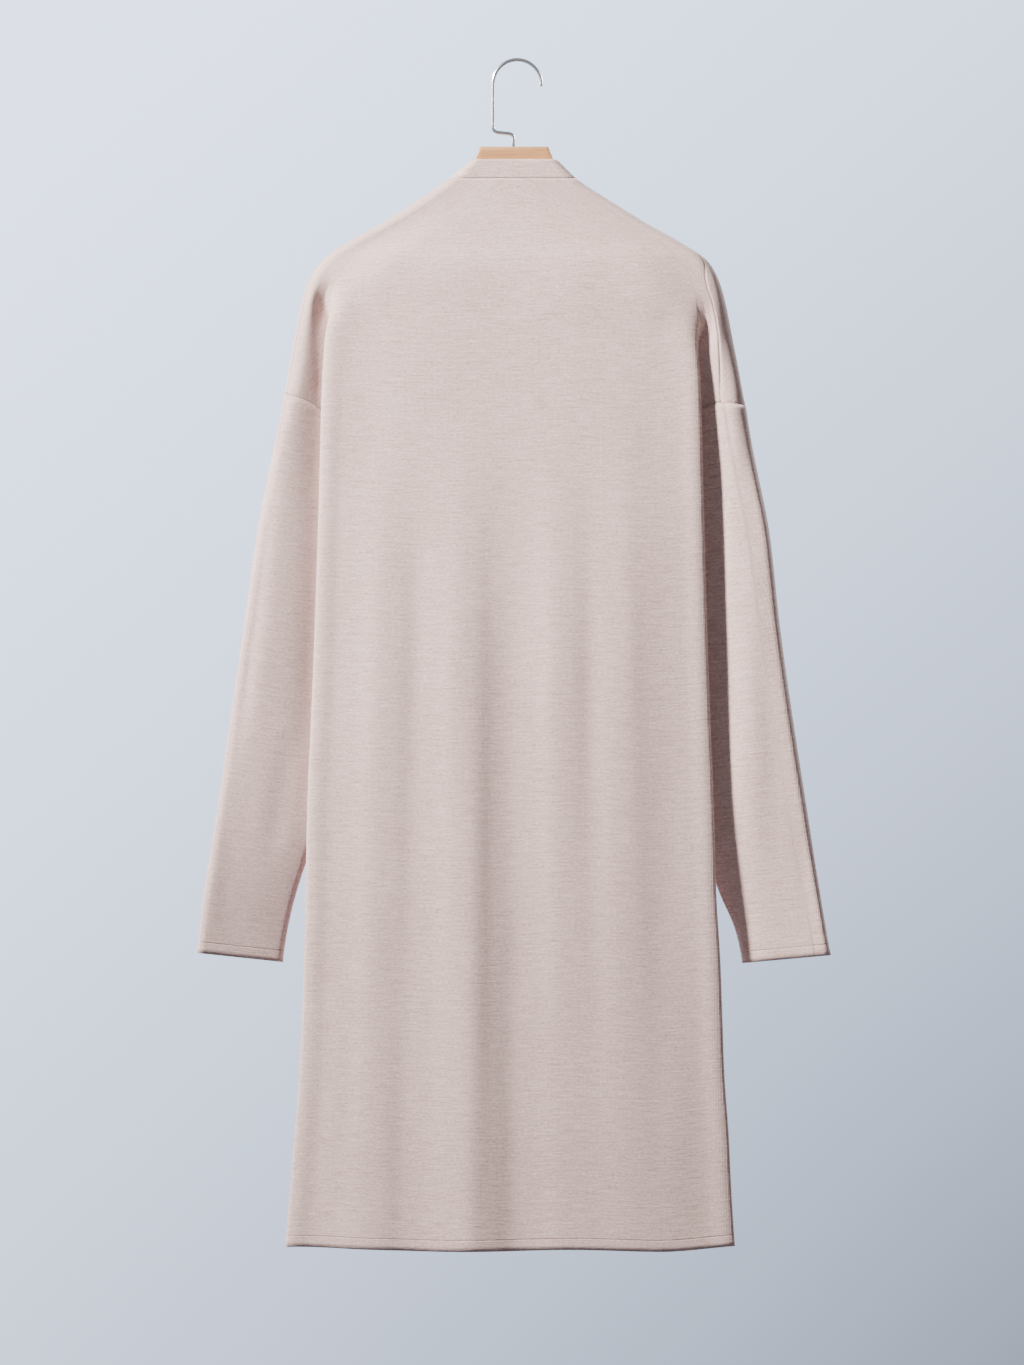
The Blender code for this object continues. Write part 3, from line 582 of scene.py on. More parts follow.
def seam_behind_at(side, z):
    """How far the shoulder seam lies behind the outline."""
    return float(read(ROUND, "seam_" + side, z))


def stops_of(line, side, face, seam_behind):
    """Shares of the pocket line's length where its folds need a point."""
    run = run_of(np.array(line))
    behind = WRAP_POINTS if seam_behind > 0 else 0
    last = behind + WING_POINTS - 1
    first, end = run[behind], run[last]
    marks = [first + (end - first) * s for s in WING_STOPS[side, face]]
    marks = [first * (1 - s) for s in WRAP_STOPS[side, face]] + marks
    tip, top = run[last + TURN_POINTS - 1], run[last + 2 * (TURN_POINTS - 1)]
    marks += [tip, (tip + top) / 2, top, (top + run[-1]) / 2, run[-1]]
    return np.array(marks) / run[-1]


def side_stops(count, z):
    """Shares along the side line: close together at the side seam, and most so at the underarm."""
    high = np.concatenate([np.linspace(0, 0.05, count - 5), [0.07, 0.09, 0.12, 0.55, 1]])
    low = np.concatenate([[0, 0.03, 0.07, 0.12], np.linspace(0.12, 1, count - 3)[1:]])
    return high + (low - high) * ease((UNDERARM - z) / SIDE_RUN)


def plain_row(side, face, z, inner, cells, behind):
    """A row where the cloth is still smooth: from the shoulder seam in to its inner edge."""
    out = outline(side, z)
    wing_end = WING_SHARE * (out - inner)
    stops = np.array(WING_STOPS[side, face])
    wraps = np.array(WRAP_STOPS[side, face])
    if face == "back":
        w = out - behind - (wing_end + 2 - behind) * stops
    else:
        w = np.concatenate([out - behind * wraps, out - wing_end * stops])
    more = np.arange(1, cells - len(w) + 1)
    w = np.concatenate([w, w[-1] - (w[-1] - inner) * PAST_WING * more / more[-1]])
    zs = np.full_like(w, z)
    y = plain(side, face, w, zs)
    y[: len(wraps)] = plain(side, "back", w[: len(wraps)], zs[: len(wraps)])
    return np.array([w, y, zs])


print("side line's shares at the hem:", side_stops(16, BACK_HEM).round(2))

# %% Armhole seam
SEAM_LEVEL = -320.0  # height at which the shoulder seam meets it


def ring_steps(side, face):
    """Distances in from the outline, along the armhole seam, for each of its points."""
    behind = seam_behind_at(side, SEAM_LEVEL)
    shares = np.array(RING_STOPS[side, face])
    if face == "back":
        return behind + (ARMHOLE_WIDE - behind) * shares
    return np.concatenate([-behind * np.array(WRAP_STOPS[side, face]), ARMHOLE_WIDE * shares])


def armhole(side, face):
    """Points of the armhole seam: w, depth, height and which way each faces.

    Its height comes from its table and its depth from the wing's, so it lies on the cloth.
    """
    steps = ring_steps(side, face)
    z = read(ARMHOLE, side, np.abs(steps))
    if face == "front":
        z = np.where(steps < 0, z, read(ARMHOLE, side + "_front", np.abs(steps)))
    z[-1] = UNDERARM
    w = outline(side, z) - np.abs(steps)
    w[-1] = UNDERARM_OUT
    facing = np.where((steps < 0) | (face == "back"), -1, 1)
    y = np.where(facing < 0, wing(side, "back", w, z), wing(side, "front", w, z))
    y[-1] = 0.0
    return w, y, z, facing


counts = {side: sum(len(ring_steps(side, face)) for face in SIGNS) - 2 for side in SIDES}
print("points round each armhole:", counts)

# %% Rows of one half
FRONT_TOP = -114.5  # first row of the fronts, under the band
DEEP_FIRST = 0.3  # up to here the opening pocket gains depth, and after it width


def folded_row(side, face, z_seam, z_body, start, opened):
    """The row's outer part where it goes round the pocket or starts at the side seam."""
    count = len(WING_STOPS[side, face]) + len(WRAP_STOPS[side, face]) + 5
    if start == "side":
        return spaced(side_line(side, face, z_body), side_stops(count, z_body))
    if opened <= 0:
        return None
    first, wrap = float(outline(side, z_seam)), 0.0
    if start is None:
        behind = seam_behind_at(side, z_seam)
        first, wrap = (first - behind, 0.0) if face == "back" else (first, behind)
    elif face == "front" and start[2] < 0:
        wrap = first - float(start[0])
    else:
        first = float(start[0])
    line = pocket_line(side, face, first, z_seam, z_body, wrap)
    stops = stops_of(line, side, face, wrap)
    missing = int(np.sum(stops <= NO_LENGTH)) - 1
    if missing > 0:
        ahead = stops[missing + 1]
        stops[: missing + 1] = ahead * np.arange(missing + 1) / (missing + 1)
    return spaced(line, stops)


def one_row(side, face, z_seam, z_body, start, inward):
    """One row: from its seam, round the folds, to the middle or the front band.

    Its edge fold is a half circle, and "inward" gives the shares from there to the inner end.
    """
    edge, at, turn = (float(np.squeeze(v)) for v in edge_of(side, face, np.array([z_body])))
    last = float(read(BAND_SEAM, "outer", z_body)) if face == "front" else 0.0
    opened = float(read(POCKET, "opened_" + side, z_body)) if z_body > UNDERARM else 1.0
    outer = folded_row(side, face, z_seam, z_body, start, opened)
    a = EDGE_TURN[1:]
    y = at - SIGNS[face] * turn * np.cos(a)
    fold = np.array([edge - turn * (1 - np.sin(a)), y, np.full(len(a), z_body)])
    w = (edge - turn) + (last - edge + turn) * inward
    z = np.full_like(w, z_body)
    face_part = np.array([w, face_depth(side, face, w, z), z])
    if opened >= 1:
        return np.hstack([outer, fold, face_part])
    cells = len(WING_STOPS[side, face]) + len(WRAP_STOPS[side, face]) + 9
    smooth = plain_row(side, face, z_body, last, cells, seam_behind_at(side, z_seam))
    w = smooth[0][-1] + (last - smooth[0][-1]) * inward
    smooth = np.hstack([smooth, np.array([w, plain(side, face, w, z), z])])
    if opened <= 0:
        return smooth
    full = np.hstack([outer, fold, face_part])
    wide = ease((opened - DEEP_FIRST) / (1 - DEEP_FIRST))
    share = np.array([[wide], [ease(opened / DEEP_FIRST)], [1.0]])
    return smooth + (full - smooth) * share


def half_rows(side, face):
    """All rows of one half of the back, or of one front, as arrays of w, depth and height."""
    inward = np.linspace(0, 1, 11 if face == "back" else 6)[1:]
    seam = armhole(side, face)
    count = len(seam[0]) - 1
    top = TOP_ROWS if face == "back" else np.append(FRONT_TOP, TOP_ROWS[1:])
    rows = [(z, z, None) for z in top[:-1]]
    bodies = np.linspace(top[-1], UNDERARM, count + 1)
    for k in range(count):
        rows.append((seam[2][k], bodies[k], (seam[0][k], seam[1][k], seam[3][k])))
    hem = BACK_HEM if face == "back" else FRONT_HEM
    rows += [(z, z, "side") for z in UNDERARM + (hem - UNDERARM) * LOW_SHARES]
    return np.array([one_row(side, face, *row, inward) for row in rows])


print("rows and points of half the back:", half_rows("left", "back").shape[::2])

# %% [markdown]
# ## Grids of the back, the fronts and the sleeves
#
# The tables were measured in the photo, which shows near things larger. sighted() moves each
# point along its line of sight, so that what is measured at one depth shows there at any depth.
# The two halves of the back are joined at the middle, and the pieces meet at their seams with
# no gap, since a sewn seam has none.

# %% Back and fronts as grids
SIGHT_TOP, SIGHT_RUN = -150.0, 110.0  # the line of sight counts from here down, fully 110 mm lower
HEM_TOP, HEM_RUN = -1000.0, 110.0  # the same for the hem's form
HEM_RISE, RISE_FROM, RISE_RUN = 4.5, 130.0, 85.0
RIPPLE, RIPPLE_LONG = 1.0, 31.0


def sighted(x, y, z):
    """Points moved along the line of sight to the depth they lie at, in metres.

    The offset from the eye grows by the depth over the eye's distance, but not at the neck.
    """
    reach = ease((SIGHT_TOP - z) / SIGHT_RUN)
    scale = 1 + reach * y / EYE[2]
    return np.stack([EYE[0] + (x - EYE[0]) * scale, y, EYE[1] + (z - EYE[1]) * scale], -1) * MM


def hem_wave(x, z):
    """How the hem rises towards the sides, with a small sine wave, growing only near it."""
    near = ease((HEM_TOP - z) / HEM_RUN)
    rise = HEM_RISE * ease((np.abs(x) - RISE_FROM) / RISE_RUN)
    return near * (rise + RIPPLE * np.sin(x / RIPPLE_LONG))


def back_grid():
    """Left half, then right half turned round, each a row of points for each height."""
    halves = []
    for side in SIDES:
        rows = half_rows(side, "back")
        halves.append((MIDDLE + SIDES[side] * rows[:, 0], rows[:, 1], rows[:, 2]))
    x, y, z = [np.hstack([a, b[:, -2::-1]]) for a, b in zip(*halves)]
    return sighted(x, y, z + hem_wave(x, z))


def front_grid(side):
    """One front, from its seam in to the band."""
    rows = half_rows(side, "front")
    return sighted(MIDDLE + SIDES[side] * rows[:, 0], rows[:, 1], rows[:, 2])


grids = {"back": back_grid()}
for side in SIDES:
    grids["front_" + side] = front_grid(side)
print({name: grid.shape[:2] for name, grid in grids.items()})

# %% [markdown]
# A sleeve is a flat tube. Its loops start as the armhole seam and become flat ovals further
# down, and the seam's own form fades out over the first quarter. Its back sinks beside the
# body's edge, and its inner edge comes forward towards the cuff.

# %% Sleeves as grids
SLEEVE_BACK, SLEEVE_FRONT = 13.0, 8.0  # depth of a sleeve's two faces near its outer edge
SLEEVE_DIP = 3.0  # how late the sleeve's back sinks
INNER_BACK, INNER_RUN = 4.0, 60.0  # its depth in the pocket, reached 60 mm inside the body's edge
FRONT_DIP, FRONT_END = 3.4, 0.7  # how much its front sinks outside and inside that edge
DIP_OUT, DIP_RUN = 22.0, 20.0  # it sinks from 22 mm outside that edge, over 20 mm
TILT, FRONT_TILT = 17.0, 0.35  # how far the inner edge comes forward at the cuff, and the front's share
TILT_FROM, CUFF_FROM = 0.55, 0.1  # shares of the length where the tilt and the cuff's form start
CUFF_BACK = 10.0  # how far the front's outer edge goes back at the cuff
FLAT_EDGE = 0.05  # share of the width over which the tube's edge is round
SEAM_FADES = 0.25  # share of the length over which the armhole's form fades


def sleeve_depth(side, face, share, f, w, z):
    """Depth of a sleeve's back or front cloth, a share down it and a fraction in from its edge."""
    edge = edge_of(side, "back", z)[0]
    tilt = TILT * ease((share - TILT_FROM) / (1 - TILT_FROM))
    if face == "back":
        near = read(VALLEY, side, z)
        wide = VALLEY_WIDE[side]
        sunk = dip(side, (edge + VALLEY_IN + wide - w) / wide, SLEEVE_DIP)
        depth = -SLEEVE_BACK + (SLEEVE_BACK - near) * sunk
        return depth + (near - INNER_BACK) * ease((edge - w) / INNER_RUN) + tilt * f
    depth = SLEEVE_FRONT - FRONT_DIP * ease((edge + DIP_OUT - w) / DIP_RUN)
    depth = depth - FRONT_END * ease((edge - w) / INNER_RUN)
    cuff = CUFF_BACK * ease((share - CUFF_FROM) / (1 - CUFF_FROM))
    return depth - cuff * (1 - f) + FRONT_TILT * tilt * f


def sleeve_ring(side, share, fractions, facing):
    """One loop round a sleeve: the mean of its two faces, and half their distance either way."""
    ends = [float(read(SLEEVE, side + name, share)) for name in ("_out", "_out_z", "_in", "_in_z")]
    out, out_z, inner, inner_z = ends
    out, inner = out - CLOTH / 2, inner + CLOTH / 2
    w = out + (inner - out) * fractions
    z = out_z + (inner_z - out_z) * fractions
    back = sleeve_depth(side, "back", share, fractions, w, z)
    front = sleeve_depth(side, "front", share, fractions, w, z)
    half, middle = (front - back) / 2, (front + back) / 2
    round_off = cap(fractions / FLAT_EDGE) * cap((1 - fractions) / FLAT_EDGE)
    return np.array([w, middle + facing * half * round_off, z])


def sleeve_grid(side):
    """Loops from the armhole to the cuff: each the flat tube plus what is left of the seam's form."""
    back, front = armhole(side, "back"), armhole(side, "front")
    loop = [np.concatenate([b, f[-2::-1]])[:-1] for b, f in zip(back, front)]
    steps = np.concatenate([ring_steps(side, "back"), ring_steps(side, "front")[-2::-1]])[:-1]
    fractions = np.clip(np.abs(steps) / ARMHOLE_WIDE, 0, 1)
    facing = loop[3]
    offset = np.array(loop[:3]) - sleeve_ring(side, 0.0, fractions, facing)
    rings = []
    for share in np.concatenate([[0], np.linspace(0.02, 1, 14)]):
        keep = (1 - ease(share / SEAM_FADES)) ** 1.5
        rings.append(sleeve_ring(side, share, fractions, facing) + offset * keep)
    rings = np.array(rings)
    x = MIDDLE + SIDES[side] * rings[:, 0]
    return sighted(x, rings[:, 1], rings[:, 2])


for side in SIDES:
    grids["sleeve_" + side] = sleeve_grid(side)
    print("sleeve", side, "has loops and points:", grids["sleeve_" + side].shape[:2])

# %% [markdown]
# The band is one strip of the same knit. Its stations go from the centre back, over the
# shoulders and down both front edges, each with an upper or inner and a lower or outer point.

# %% Band as a grid
BAND_SHARES = (0.0, 0.25, 0.45, 0.62, 0.75, 0.84, 0.91, 0.96, 0.99)  # of the way to the outline
BAND_DROPS = (0.0, 1.0, 3.0, 6.5, 12, 22, 36, 56, 86)  # heights under the neck, in front


def front_depth(side, w, z):
    """Depth of the front at any place, as its rows give it."""
    w, z = np.array([float(w)]), np.array([float(z)])
    opened = read(POCKET, "opened_" + side, z)
    smooth, full = plain(side, "front", w, z), face_depth(side, "front", w, z)
    return float(np.squeeze(smooth + (full - smooth) * opened))


def band_half(side):
    """Stations of the band from the centre back over the shoulder and down one front."""
    stations = []
    for g in BAND_SHARES:
        line = []
        for z in (NECK_TOP, SEAM_TOP):
            w = float(outline(side, z)) * g
            line.append((w, float(plain(side, "back", np.array(w), np.array(z))), z))
        stations.append(line)
    edges = ((NECK_TOP, BAND, "inner"), (SEAM_TOP, BAND_SEAM, "outer"))
    for drop in BAND_DROPS:
        line = []
        for top, rows, name in edges:
            z = top - drop
            w = min(float(read(rows, name, z)), float(outline(side, z)))
            line.append((w, front_depth(side, w, z), z))
        stations.append(line)
    for share in np.linspace(0, 1, 17)[1:]:
        line = []
        for top, rows, name in edges:
            start = top - BAND_DROPS[-1]
            z = start + (FRONT_HEM - start) * share
            w = float(read(rows, name, z))
            line.append((w, front_depth(side, w, z), z))
        stations.append(line)
    return np.array(stations)


def band_grid():
    """Three lines along the band, with the left half turned round before the right one."""
    halves = []
    for side in SIDES:
        stations = band_half(side)
        inner, outer = stations[:, 0], stations[:, 1]
        rows = np.stack([inner + (outer - inner) * t for t in (0.0, 0.5, 1.0)])
        halves.append((MIDDLE + SIDES[side] * rows[..., 0], rows[..., 1], rows[..., 2]))
    joined = [np.hstack([a[:, :0:-1], b]) for a, b in zip(*halves)]
    return sighted(*joined)


grids["neck_band"] = band_grid()
print("band has lines and stations:", grids["neck_band"].shape[:2])

# %% [markdown]
# ## Finer grids
#
# Knit bends softly, so the flat cells of the coarse grid must not show. A subdivision surface
# would pull the folds in and lose their measured places. Instead a cubic curve goes through
# each line of points. Its direction at a point is the mean of the two chords there, the shorter
# one counting more, and it goes straight into a sharp corner.

# %% Make the grids finer
CORNER = 0.6  # cosine between two chords, under which the curve slows down into the corner
SHOULDER_END, END_WIDE = -250.0, 45.0  # height and reach of the softening there
END_OUT, END_RUN = 110.0, 30.0  # distance out where it starts, and over which it grows
SOFT_SHARE, SOFT_TIMES = 0.8, 12
EVEN_SHARE, EVEN_TIMES = 0.2, 10
SHARP_BEND = 0.0008  # metres between a point and its neighbours' middle, where smoothing ends


def finer(grid, axis, step, around=False):
    """The grid with new points along one axis, so that none are further apart than step.

    Between two points it is a Hermite cubic: the ends weighted by the soft step, plus each end's
    direction times the chord's length.
    """
    g = np.moveaxis(grid, axis, 0)
    if around:
        g = np.concatenate([g[-1:], g, g[:2]])
    chord = np.diff(g, axis=0)
    size = np.linalg.norm(chord, axis=-1, keepdims=True) + NO_LENGTH
    unit = chord / size
    mean = (unit[:-1] * size[1:] + unit[1:] * size[:-1]) / (size[1:] + size[:-1])
    sharp = (unit[:-1] * unit[1:]).sum(-1, keepdims=True)
    mean = mean * np.clip(sharp / CORNER, 0, 1)
    lean = np.concatenate([unit[:1], mean, unit[-1:]])
    counts = np.ceil(size.reshape(len(size), -1).max(1) / step).astype(int)
    first, last = (1, len(size) - 1) if around else (0, len(size))
    made = []
    for i in range(first, last):
        t = (np.arange(counts[i]) / counts[i])[:, None, None]
        bend = 2 * t**3 - 3 * t**2
        start = g[i] * (1 + bend) - g[i + 1] * bend
        turn = lean[i] * (t**3 - 2 * t**2 + t) + lean[i + 1] * (t**3 - t**2)
        made.append(start + turn * size[i])
    if not around:
        made.append(g[-1:])
    return np.moveaxis(np.concatenate(made), 0, axis)


def finer_both(grid, steps, around=False):
    """The grid made finer across and then along."""
    return finer(finer(grid, 1, steps[0], around), 0, steps[1])


def softened(grid, share, times):
    """Each point moved towards the mean of its neighbours, by a share given for each point."""
    g = grid.copy()
    for _ in range(times):
        mean = g.copy()
        mean[1:-1, 1:-1] = (g[:-2, 1:-1] + g[2:, 1:-1] + g[1:-1, :-2] + g[1:-1, 2:]) / 4
        g += (mean - g) * share[..., None]
    return g


def softened_at_shoulder(grid):
    """The grid evened out where the edge fold begins, at the shoulder's end."""
    x, z = grid[..., 0] / MM, grid[..., 2] / MM
    near = np.exp(-(((z - SHOULDER_END) / END_WIDE) ** 2)) * ease((np.abs(x) - END_OUT) / END_RUN)
    return softened(grid, SOFT_SHARE * near, SOFT_TIMES)


def smoothed_round(grid):
    """A tube's rings evened out along their length and a little around, keeping its two ends.

    Where it bends sharply, as at its flat edges, it is left as it is.
    """
    g = grid.copy()
    for _ in range(EVEN_TIMES):
        g[1:-1] += (g[:-2] + g[2:] - 2 * g[1:-1]) * EVEN_SHARE
        turned = np.roll(g, 1, axis=1) + np.roll(g, -1, axis=1) - 2 * g
        bent = np.linalg.norm(turned, axis=-1, keepdims=True)
        g[1:-1] += (turned * EVEN_SHARE * np.exp(-((bent / SHARP_BEND) ** 2)))[1:-1]
    return g


print("back's points for each 5 mm:", finer_both(grids["back"], (0.005, 0.005)).shape[:2])

# %% [markdown]
# ## Creases
#
# Hanging knit has soft troughs and ridges besides its main folds. They are listed here, each
# between two points, with a width and a depth, because noise would put them anywhere. A ridge
# has a depth above zero and stands out from the cloth.

# %% Tables of creases
BACK_CREASES = table(
    "x top to_x to_z wide deep",
    (-60.0, -150.0, -75.0, -330.0, 26.0, 0.8),
    (40.0, -160.0, 62.0, -360.0, 24.0, 0.7),
    (-150.0, -200.0, -135.0, -420.0, 16.0, -0.9),
    (140.0, -215.0, 130.0, -430.0, 18.0, -0.8),
    (-95.0, -430.0, -92.0, -700.0, 9.0, -0.5),
    (-8.0, -470.0, -14.0, -820.0, 11.0, -0.6),
    (70.0, -500.0, 64.0, -800.0, 10.0, -0.5),
    (140.0, -620.0, 138.0, -900.0, 12.0, -0.6),
    (-118.0, -760.0, -108.0, -1110.0, 9.0, -0.7),
    (10.0, -820.0, 12.0, -1110.0, 10.0, 0.7),
    (150.0, -880.0, 148.0, -1110.0, 10.0, 0.6),
    (-168.0, -830.0, -176.0, -1110.0, 9.0, 0.6),
)
SLEEVE_CREASES = {
    "left": table(
        "x top to_x to_z wide deep",
        (-223.0, -335.0, -264.0, -665.0, 5.0, -2.4),
        (-236.0, -520.0, -262.0, -700.0, 9.0, 0.8),
        (-210.0, -620.0, -232.0, -760.0, 8.0, -1.0),
        (-280.0, -700.0, -288.0, -830.0, 6.0, 0.8),
    ),
    "right": table(
        "x top to_x to_z wide deep",
        (212.0, -340.0, 222.0, -500.0, 8.0, -1.2),
        (196.0, -380.0, 200.0, -560.0, 7.0, 0.8),
        (226.0, -540.0, 248.0, -720.0, 8.0, -1.1),
        (208.0, -620.0, 226.0, -760.0, 7.0, 0.9),
        (262.0, -710.0, 276.0, -830.0, 6.0, -0.8),
    ),
}
CREASE_ENDS = 0.3  # share of a crease's length over which each end fades


def creased(x, z, rows):
    """Sum of the rows' troughs and ridges, each a bell across its line and fading at its ends."""
    total = np.zeros_like(x)
    for x0, z0, x1, z1, wide, deep in zip(*rows.values()):
        length = np.hypot(x1 - x0, z1 - z0)
        along = ((x - x0) * (x1 - x0) + (z - z0) * (z1 - z0)) / length**2
        across = ((x - x0) * (z1 - z0) - (z - z0) * (x1 - x0)) / length
        fade = ease(along / CREASE_ENDS) * ease((1 - along) / CREASE_ENDS)
        total += deep * fade * np.exp(-0.5 * (across / wide) ** 2)
    return total


print("creases on the back:", len(BACK_CREASES["x"]))

# %% [markdown]
# ## Cloth meshes
#
# Knit runs along the cloth, round every fold, so a pattern laid flat over the garment would
# stretch there. Each cloth therefore carries its own lengths across and along as an attribute,
# and its distance from the hem and from the seams, for the stitches and the grooves. Solidify
# gives the wall its even thickness.

# %% Cloth makers
def quads(rows, columns, around=False, flipped=False):
    """Faces between neighbouring rows and columns of a grid, as numbers of its points."""
    index = np.arange(rows * columns).reshape(rows, columns)
    if around:
        index = np.hstack([index, index[:, :1]])
    corners = (index[:-1, :-1], index[1:, :-1], index[1:, 1:], index[:-1, 1:])
    faces = np.stack([c.ravel() for c in corners], -1)
    return faces[:, [0, 3, 2, 1]] if flipped else faces


def add_mesh(name, points, faces):
    """A smooth mesh object at the origin."""
    mesh = bpy.data.meshes.new(name)
    mesh.from_pydata(points.reshape(-1, 3).tolist(), [], faces)
    mesh.shade_smooth()
    made = bpy.data.objects.new(name, mesh)
    bpy.context.scene.collection.objects.link(made)
    return made


def lengths(grid, axis, start):
    """Length of cloth from a line of the grid to each point, along one axis."""
    step = np.linalg.norm(np.diff(grid, axis=axis), axis=-1)
    run = np.insert(np.cumsum(step, axis=axis), 0, 0.0, axis=axis)
    return run - np.take(run, [start], axis=axis)


def normals(grid, around=False):
    """Unit vectors square to the grid: the cross product of its two directions."""
    if around:
        wide = np.concatenate([grid[:, -1:], grid, grid[:, :1]], axis=1)
        across = (wide[:, 2:] - wide[:, :-2]) / 2
    else:
        across = np.gradient(grid, axis=1)
    made = np.cross(across, np.gradient(grid, axis=0))
    return made / (np.linalg.norm(made, axis=-1, keepdims=True) + 1e-12)


def area_of(grid, around=False):
    """Area in square metres: half the cross products of each cell's two triangles."""
    g = np.concatenate([grid, grid[:, :1]], axis=1) if around else grid
    one = np.cross(g[1:, :-1] - g[:-1, :-1], g[1:, 1:] - g[:-1, :-1])
    two = np.cross(g[1:, 1:] - g[:-1, :-1], g[:-1, 1:] - g[:-1, :-1])
    return float((np.linalg.norm(one, axis=-1) + np.linalg.norm(two, axis=-1)).sum() / 2)


def put(mesh, name, kind, values):
    """A value for each vertex."""
    held = mesh.attributes.new(name, kind, "POINT")
    held.data.foreach_set("value" if kind == "FLOAT" else "vector", np.ravel(values).astype(np.float32))


def cloth_mesh(name, grid, across, along, hem, seam, around=False):
    """A wall of even thickness on the grid, with the cloth's own measures at each point."""
    made = add_mesh(name, grid, quads(*grid.shape[:2], around).tolist())
    put(made.data, "cloth", "FLOAT_VECTOR", np.stack([across, along, np.zeros_like(across)], -1))
    put(made.data, "hem", "FLOAT", hem)
    put(made.data, "seam", "FLOAT", seam)
    wall = made.modifiers.new("wall", "SOLIDIFY")
    wall.thickness = CLOTH * MM
    wall.offset = 0.0
    wall.use_even_offset = False
    return made


print("half the back, coarse:", round(area_of(grids["back"]) / 2, 3), "square metres")

# %% [markdown]
# ## Back and fronts
#
# The back is one piece with the drop shoulders. It gets its creases on the broad face only, so
# that the layers turned in under it don't move. The fronts hang plainly behind it.

# %% Back
cloths = {}
NECK_FLAT = 0.002  # keeps the seam round the neck as faint as in the photo
BACK_STEPS = (0.0042, 0.0055)  # largest steps of the finer grid, across and along, in metres
CREASE_FROM, CREASE_RUN = 4.0, 4.0  # creases start 4 mm behind the middle and are full at 8


def flat_measures(grid, start):
    """Lengths across from one column and up from the hem, and the distance to the side seams."""
    across = lengths(grid, 1, start)
    along = lengths(grid, 0, grid.shape[0] - 1)
    return across, along, np.minimum(across - across[:, :1], across[:, -1:] - across)


def add_back():
    """The finer grid, softened at the shoulders, with its creases along its normals."""
    grid = finer_both(grids["back"], BACK_STEPS)
    x, z = grid[..., 0] / MM, grid[..., 2] / MM
    grid = softened_at_shoulder(grid)
    face = ease((-CREASE_FROM - grid[..., 1] / MM) / CREASE_RUN)
    grid -= normals(grid) * (creased(x, z, BACK_CREASES) * face * MM)[..., None]
    area_of(grid)
    across, along, ends = flat_measures(grid, grid.shape[1] // 2)
    seam = np.minimum(ends, lengths(grid, 0, 0) + NECK_FLAT)
    return cloth_mesh("back_cloth", grid, across, -along, -along, seam)


cloths["back"] = add_back()

# %% Fronts
STEPS = (0.0045, 0.006)  # of the fronts and the sleeves


def add_front(side):
    """The finer grid, softened at the shoulder."""
    grid = finer_both(grids["front_" + side], STEPS)
    grid = softened_at_shoulder(grid)
    area_of(grid)
    across, along, ends = flat_measures(grid, grid.shape[1] - 1)
    seam = np.minimum(ends, lengths(grid, 0, 0))
    return cloth_mesh(f"front_{side}_cloth", grid, across * SIDES[side], -along, -along, seam)


for side in SIDES:
    cloths["front_" + side] = add_front(side)

# %% [markdown]
# ## Sleeves
#
# Where a sleeve is sewn to a drop shoulder, its cloth stands a little proud of the seam, as a
# step that catches the light. swell gives that step and fades out further down.

# %% Sleeves
SWELL = {"left": 0.7, "right": 0.8}
SWELL_RISES, SWELL_ENDS, SWELL_FADES = 0.0035, 0.09, 0.085  # metres from the seam
FLAT_FROM, FLAT_RUN = 3.0, 9.0  # it is least at the tube's flat edges
SLEEVE_CREASE_FROM, SEAM_CLEAR = 3.0, 0.02  # creases keep off the edges and the seam


def add_sleeve(side):
    """The finer tube, swollen below its seam and creased on its back face."""
    grid = finer_both(grids["sleeve_" + side], STEPS, around=True)
    grid = smoothed_round(grid)
    seam = lengths(grid, 0, 0)
    x, y, z = np.moveaxis(grid / MM, -1, 0)
    swell = SWELL[side] * ease(seam / SWELL_RISES) * ease((SWELL_ENDS - seam) / SWELL_FADES)
    swell = swell * ease((FLAT_FROM + np.abs(y)) / FLAT_RUN)
    on_back = ease((-SLEEVE_CREASE_FROM - y) / CREASE_RUN) * ease(seam / SEAM_CLEAR)
    swell = swell + creased(x, z, SLEEVE_CREASES[side]) * on_back
    grid += normals(grid, around=True) * (swell * SIDES[side] * MM)[..., None]
    area_of(grid, around=True)
    across = lengths(grid, 1, 0)
    along = lengths(grid, 0, grid.shape[0] - 1)
    return cloth_mesh(f"sleeve_{side}_cloth", grid, across, -along, -along, seam, around=True)


for side in SIDES:
    cloths["sleeve_" + side] = add_sleeve(side)

# %% [markdown]
# ## Neck band
#
# The band is the same knit folded double. Its rows of loops run along it, so its lengths across
# and along change places, and its stitches lie at its two ends.

# %% Neck band
BAND_STEPS = (0.005, 0.003)


def add_band():
    """The finer strip, with the distance from its two ends as its hem."""
    grid = finer_both(grids["neck_band"], BAND_STEPS)
    area_of(grid)
    across = lengths(grid, 0, grid.shape[0] - 1)
    along = lengths(grid, 1, grid.shape[1] // 2)
    hem = np.minimum(along - along[:, :1], along[:, -1:] - along)
    return cloth_mesh("neck_band_cloth", grid, along, across, hem, NECK_FLAT - across)


cloths["neck_band"] = add_band()

# %% [markdown]
# ## Wooden hanger
#
# It is cut from a flat board with rounded edges. A bevelled outline would do, but the grain and
# the highlights ask for even faces. So the wood is a row of rounded rectangles from tip to tip,
# each as tall as the table says there.

# %% Wooden hanger
WOOD_THICK = 12.0
WOOD_ROUND, LEAST_FLAT = 4.6, 0.2  # roundness of its edges, and the flat left between them


def tube(name, loops):
    """Rings of points joined into a closed skin, with a flat face at each end."""
    count, around = loops.shape[:2]
    faces = quads(count, around, around=True, flipped=True).tolist()
    last = (count - 1) * around
    faces += [list(range(around))[::-1], list(range(last, last + around))]
    return add_mesh(name, loops, faces)


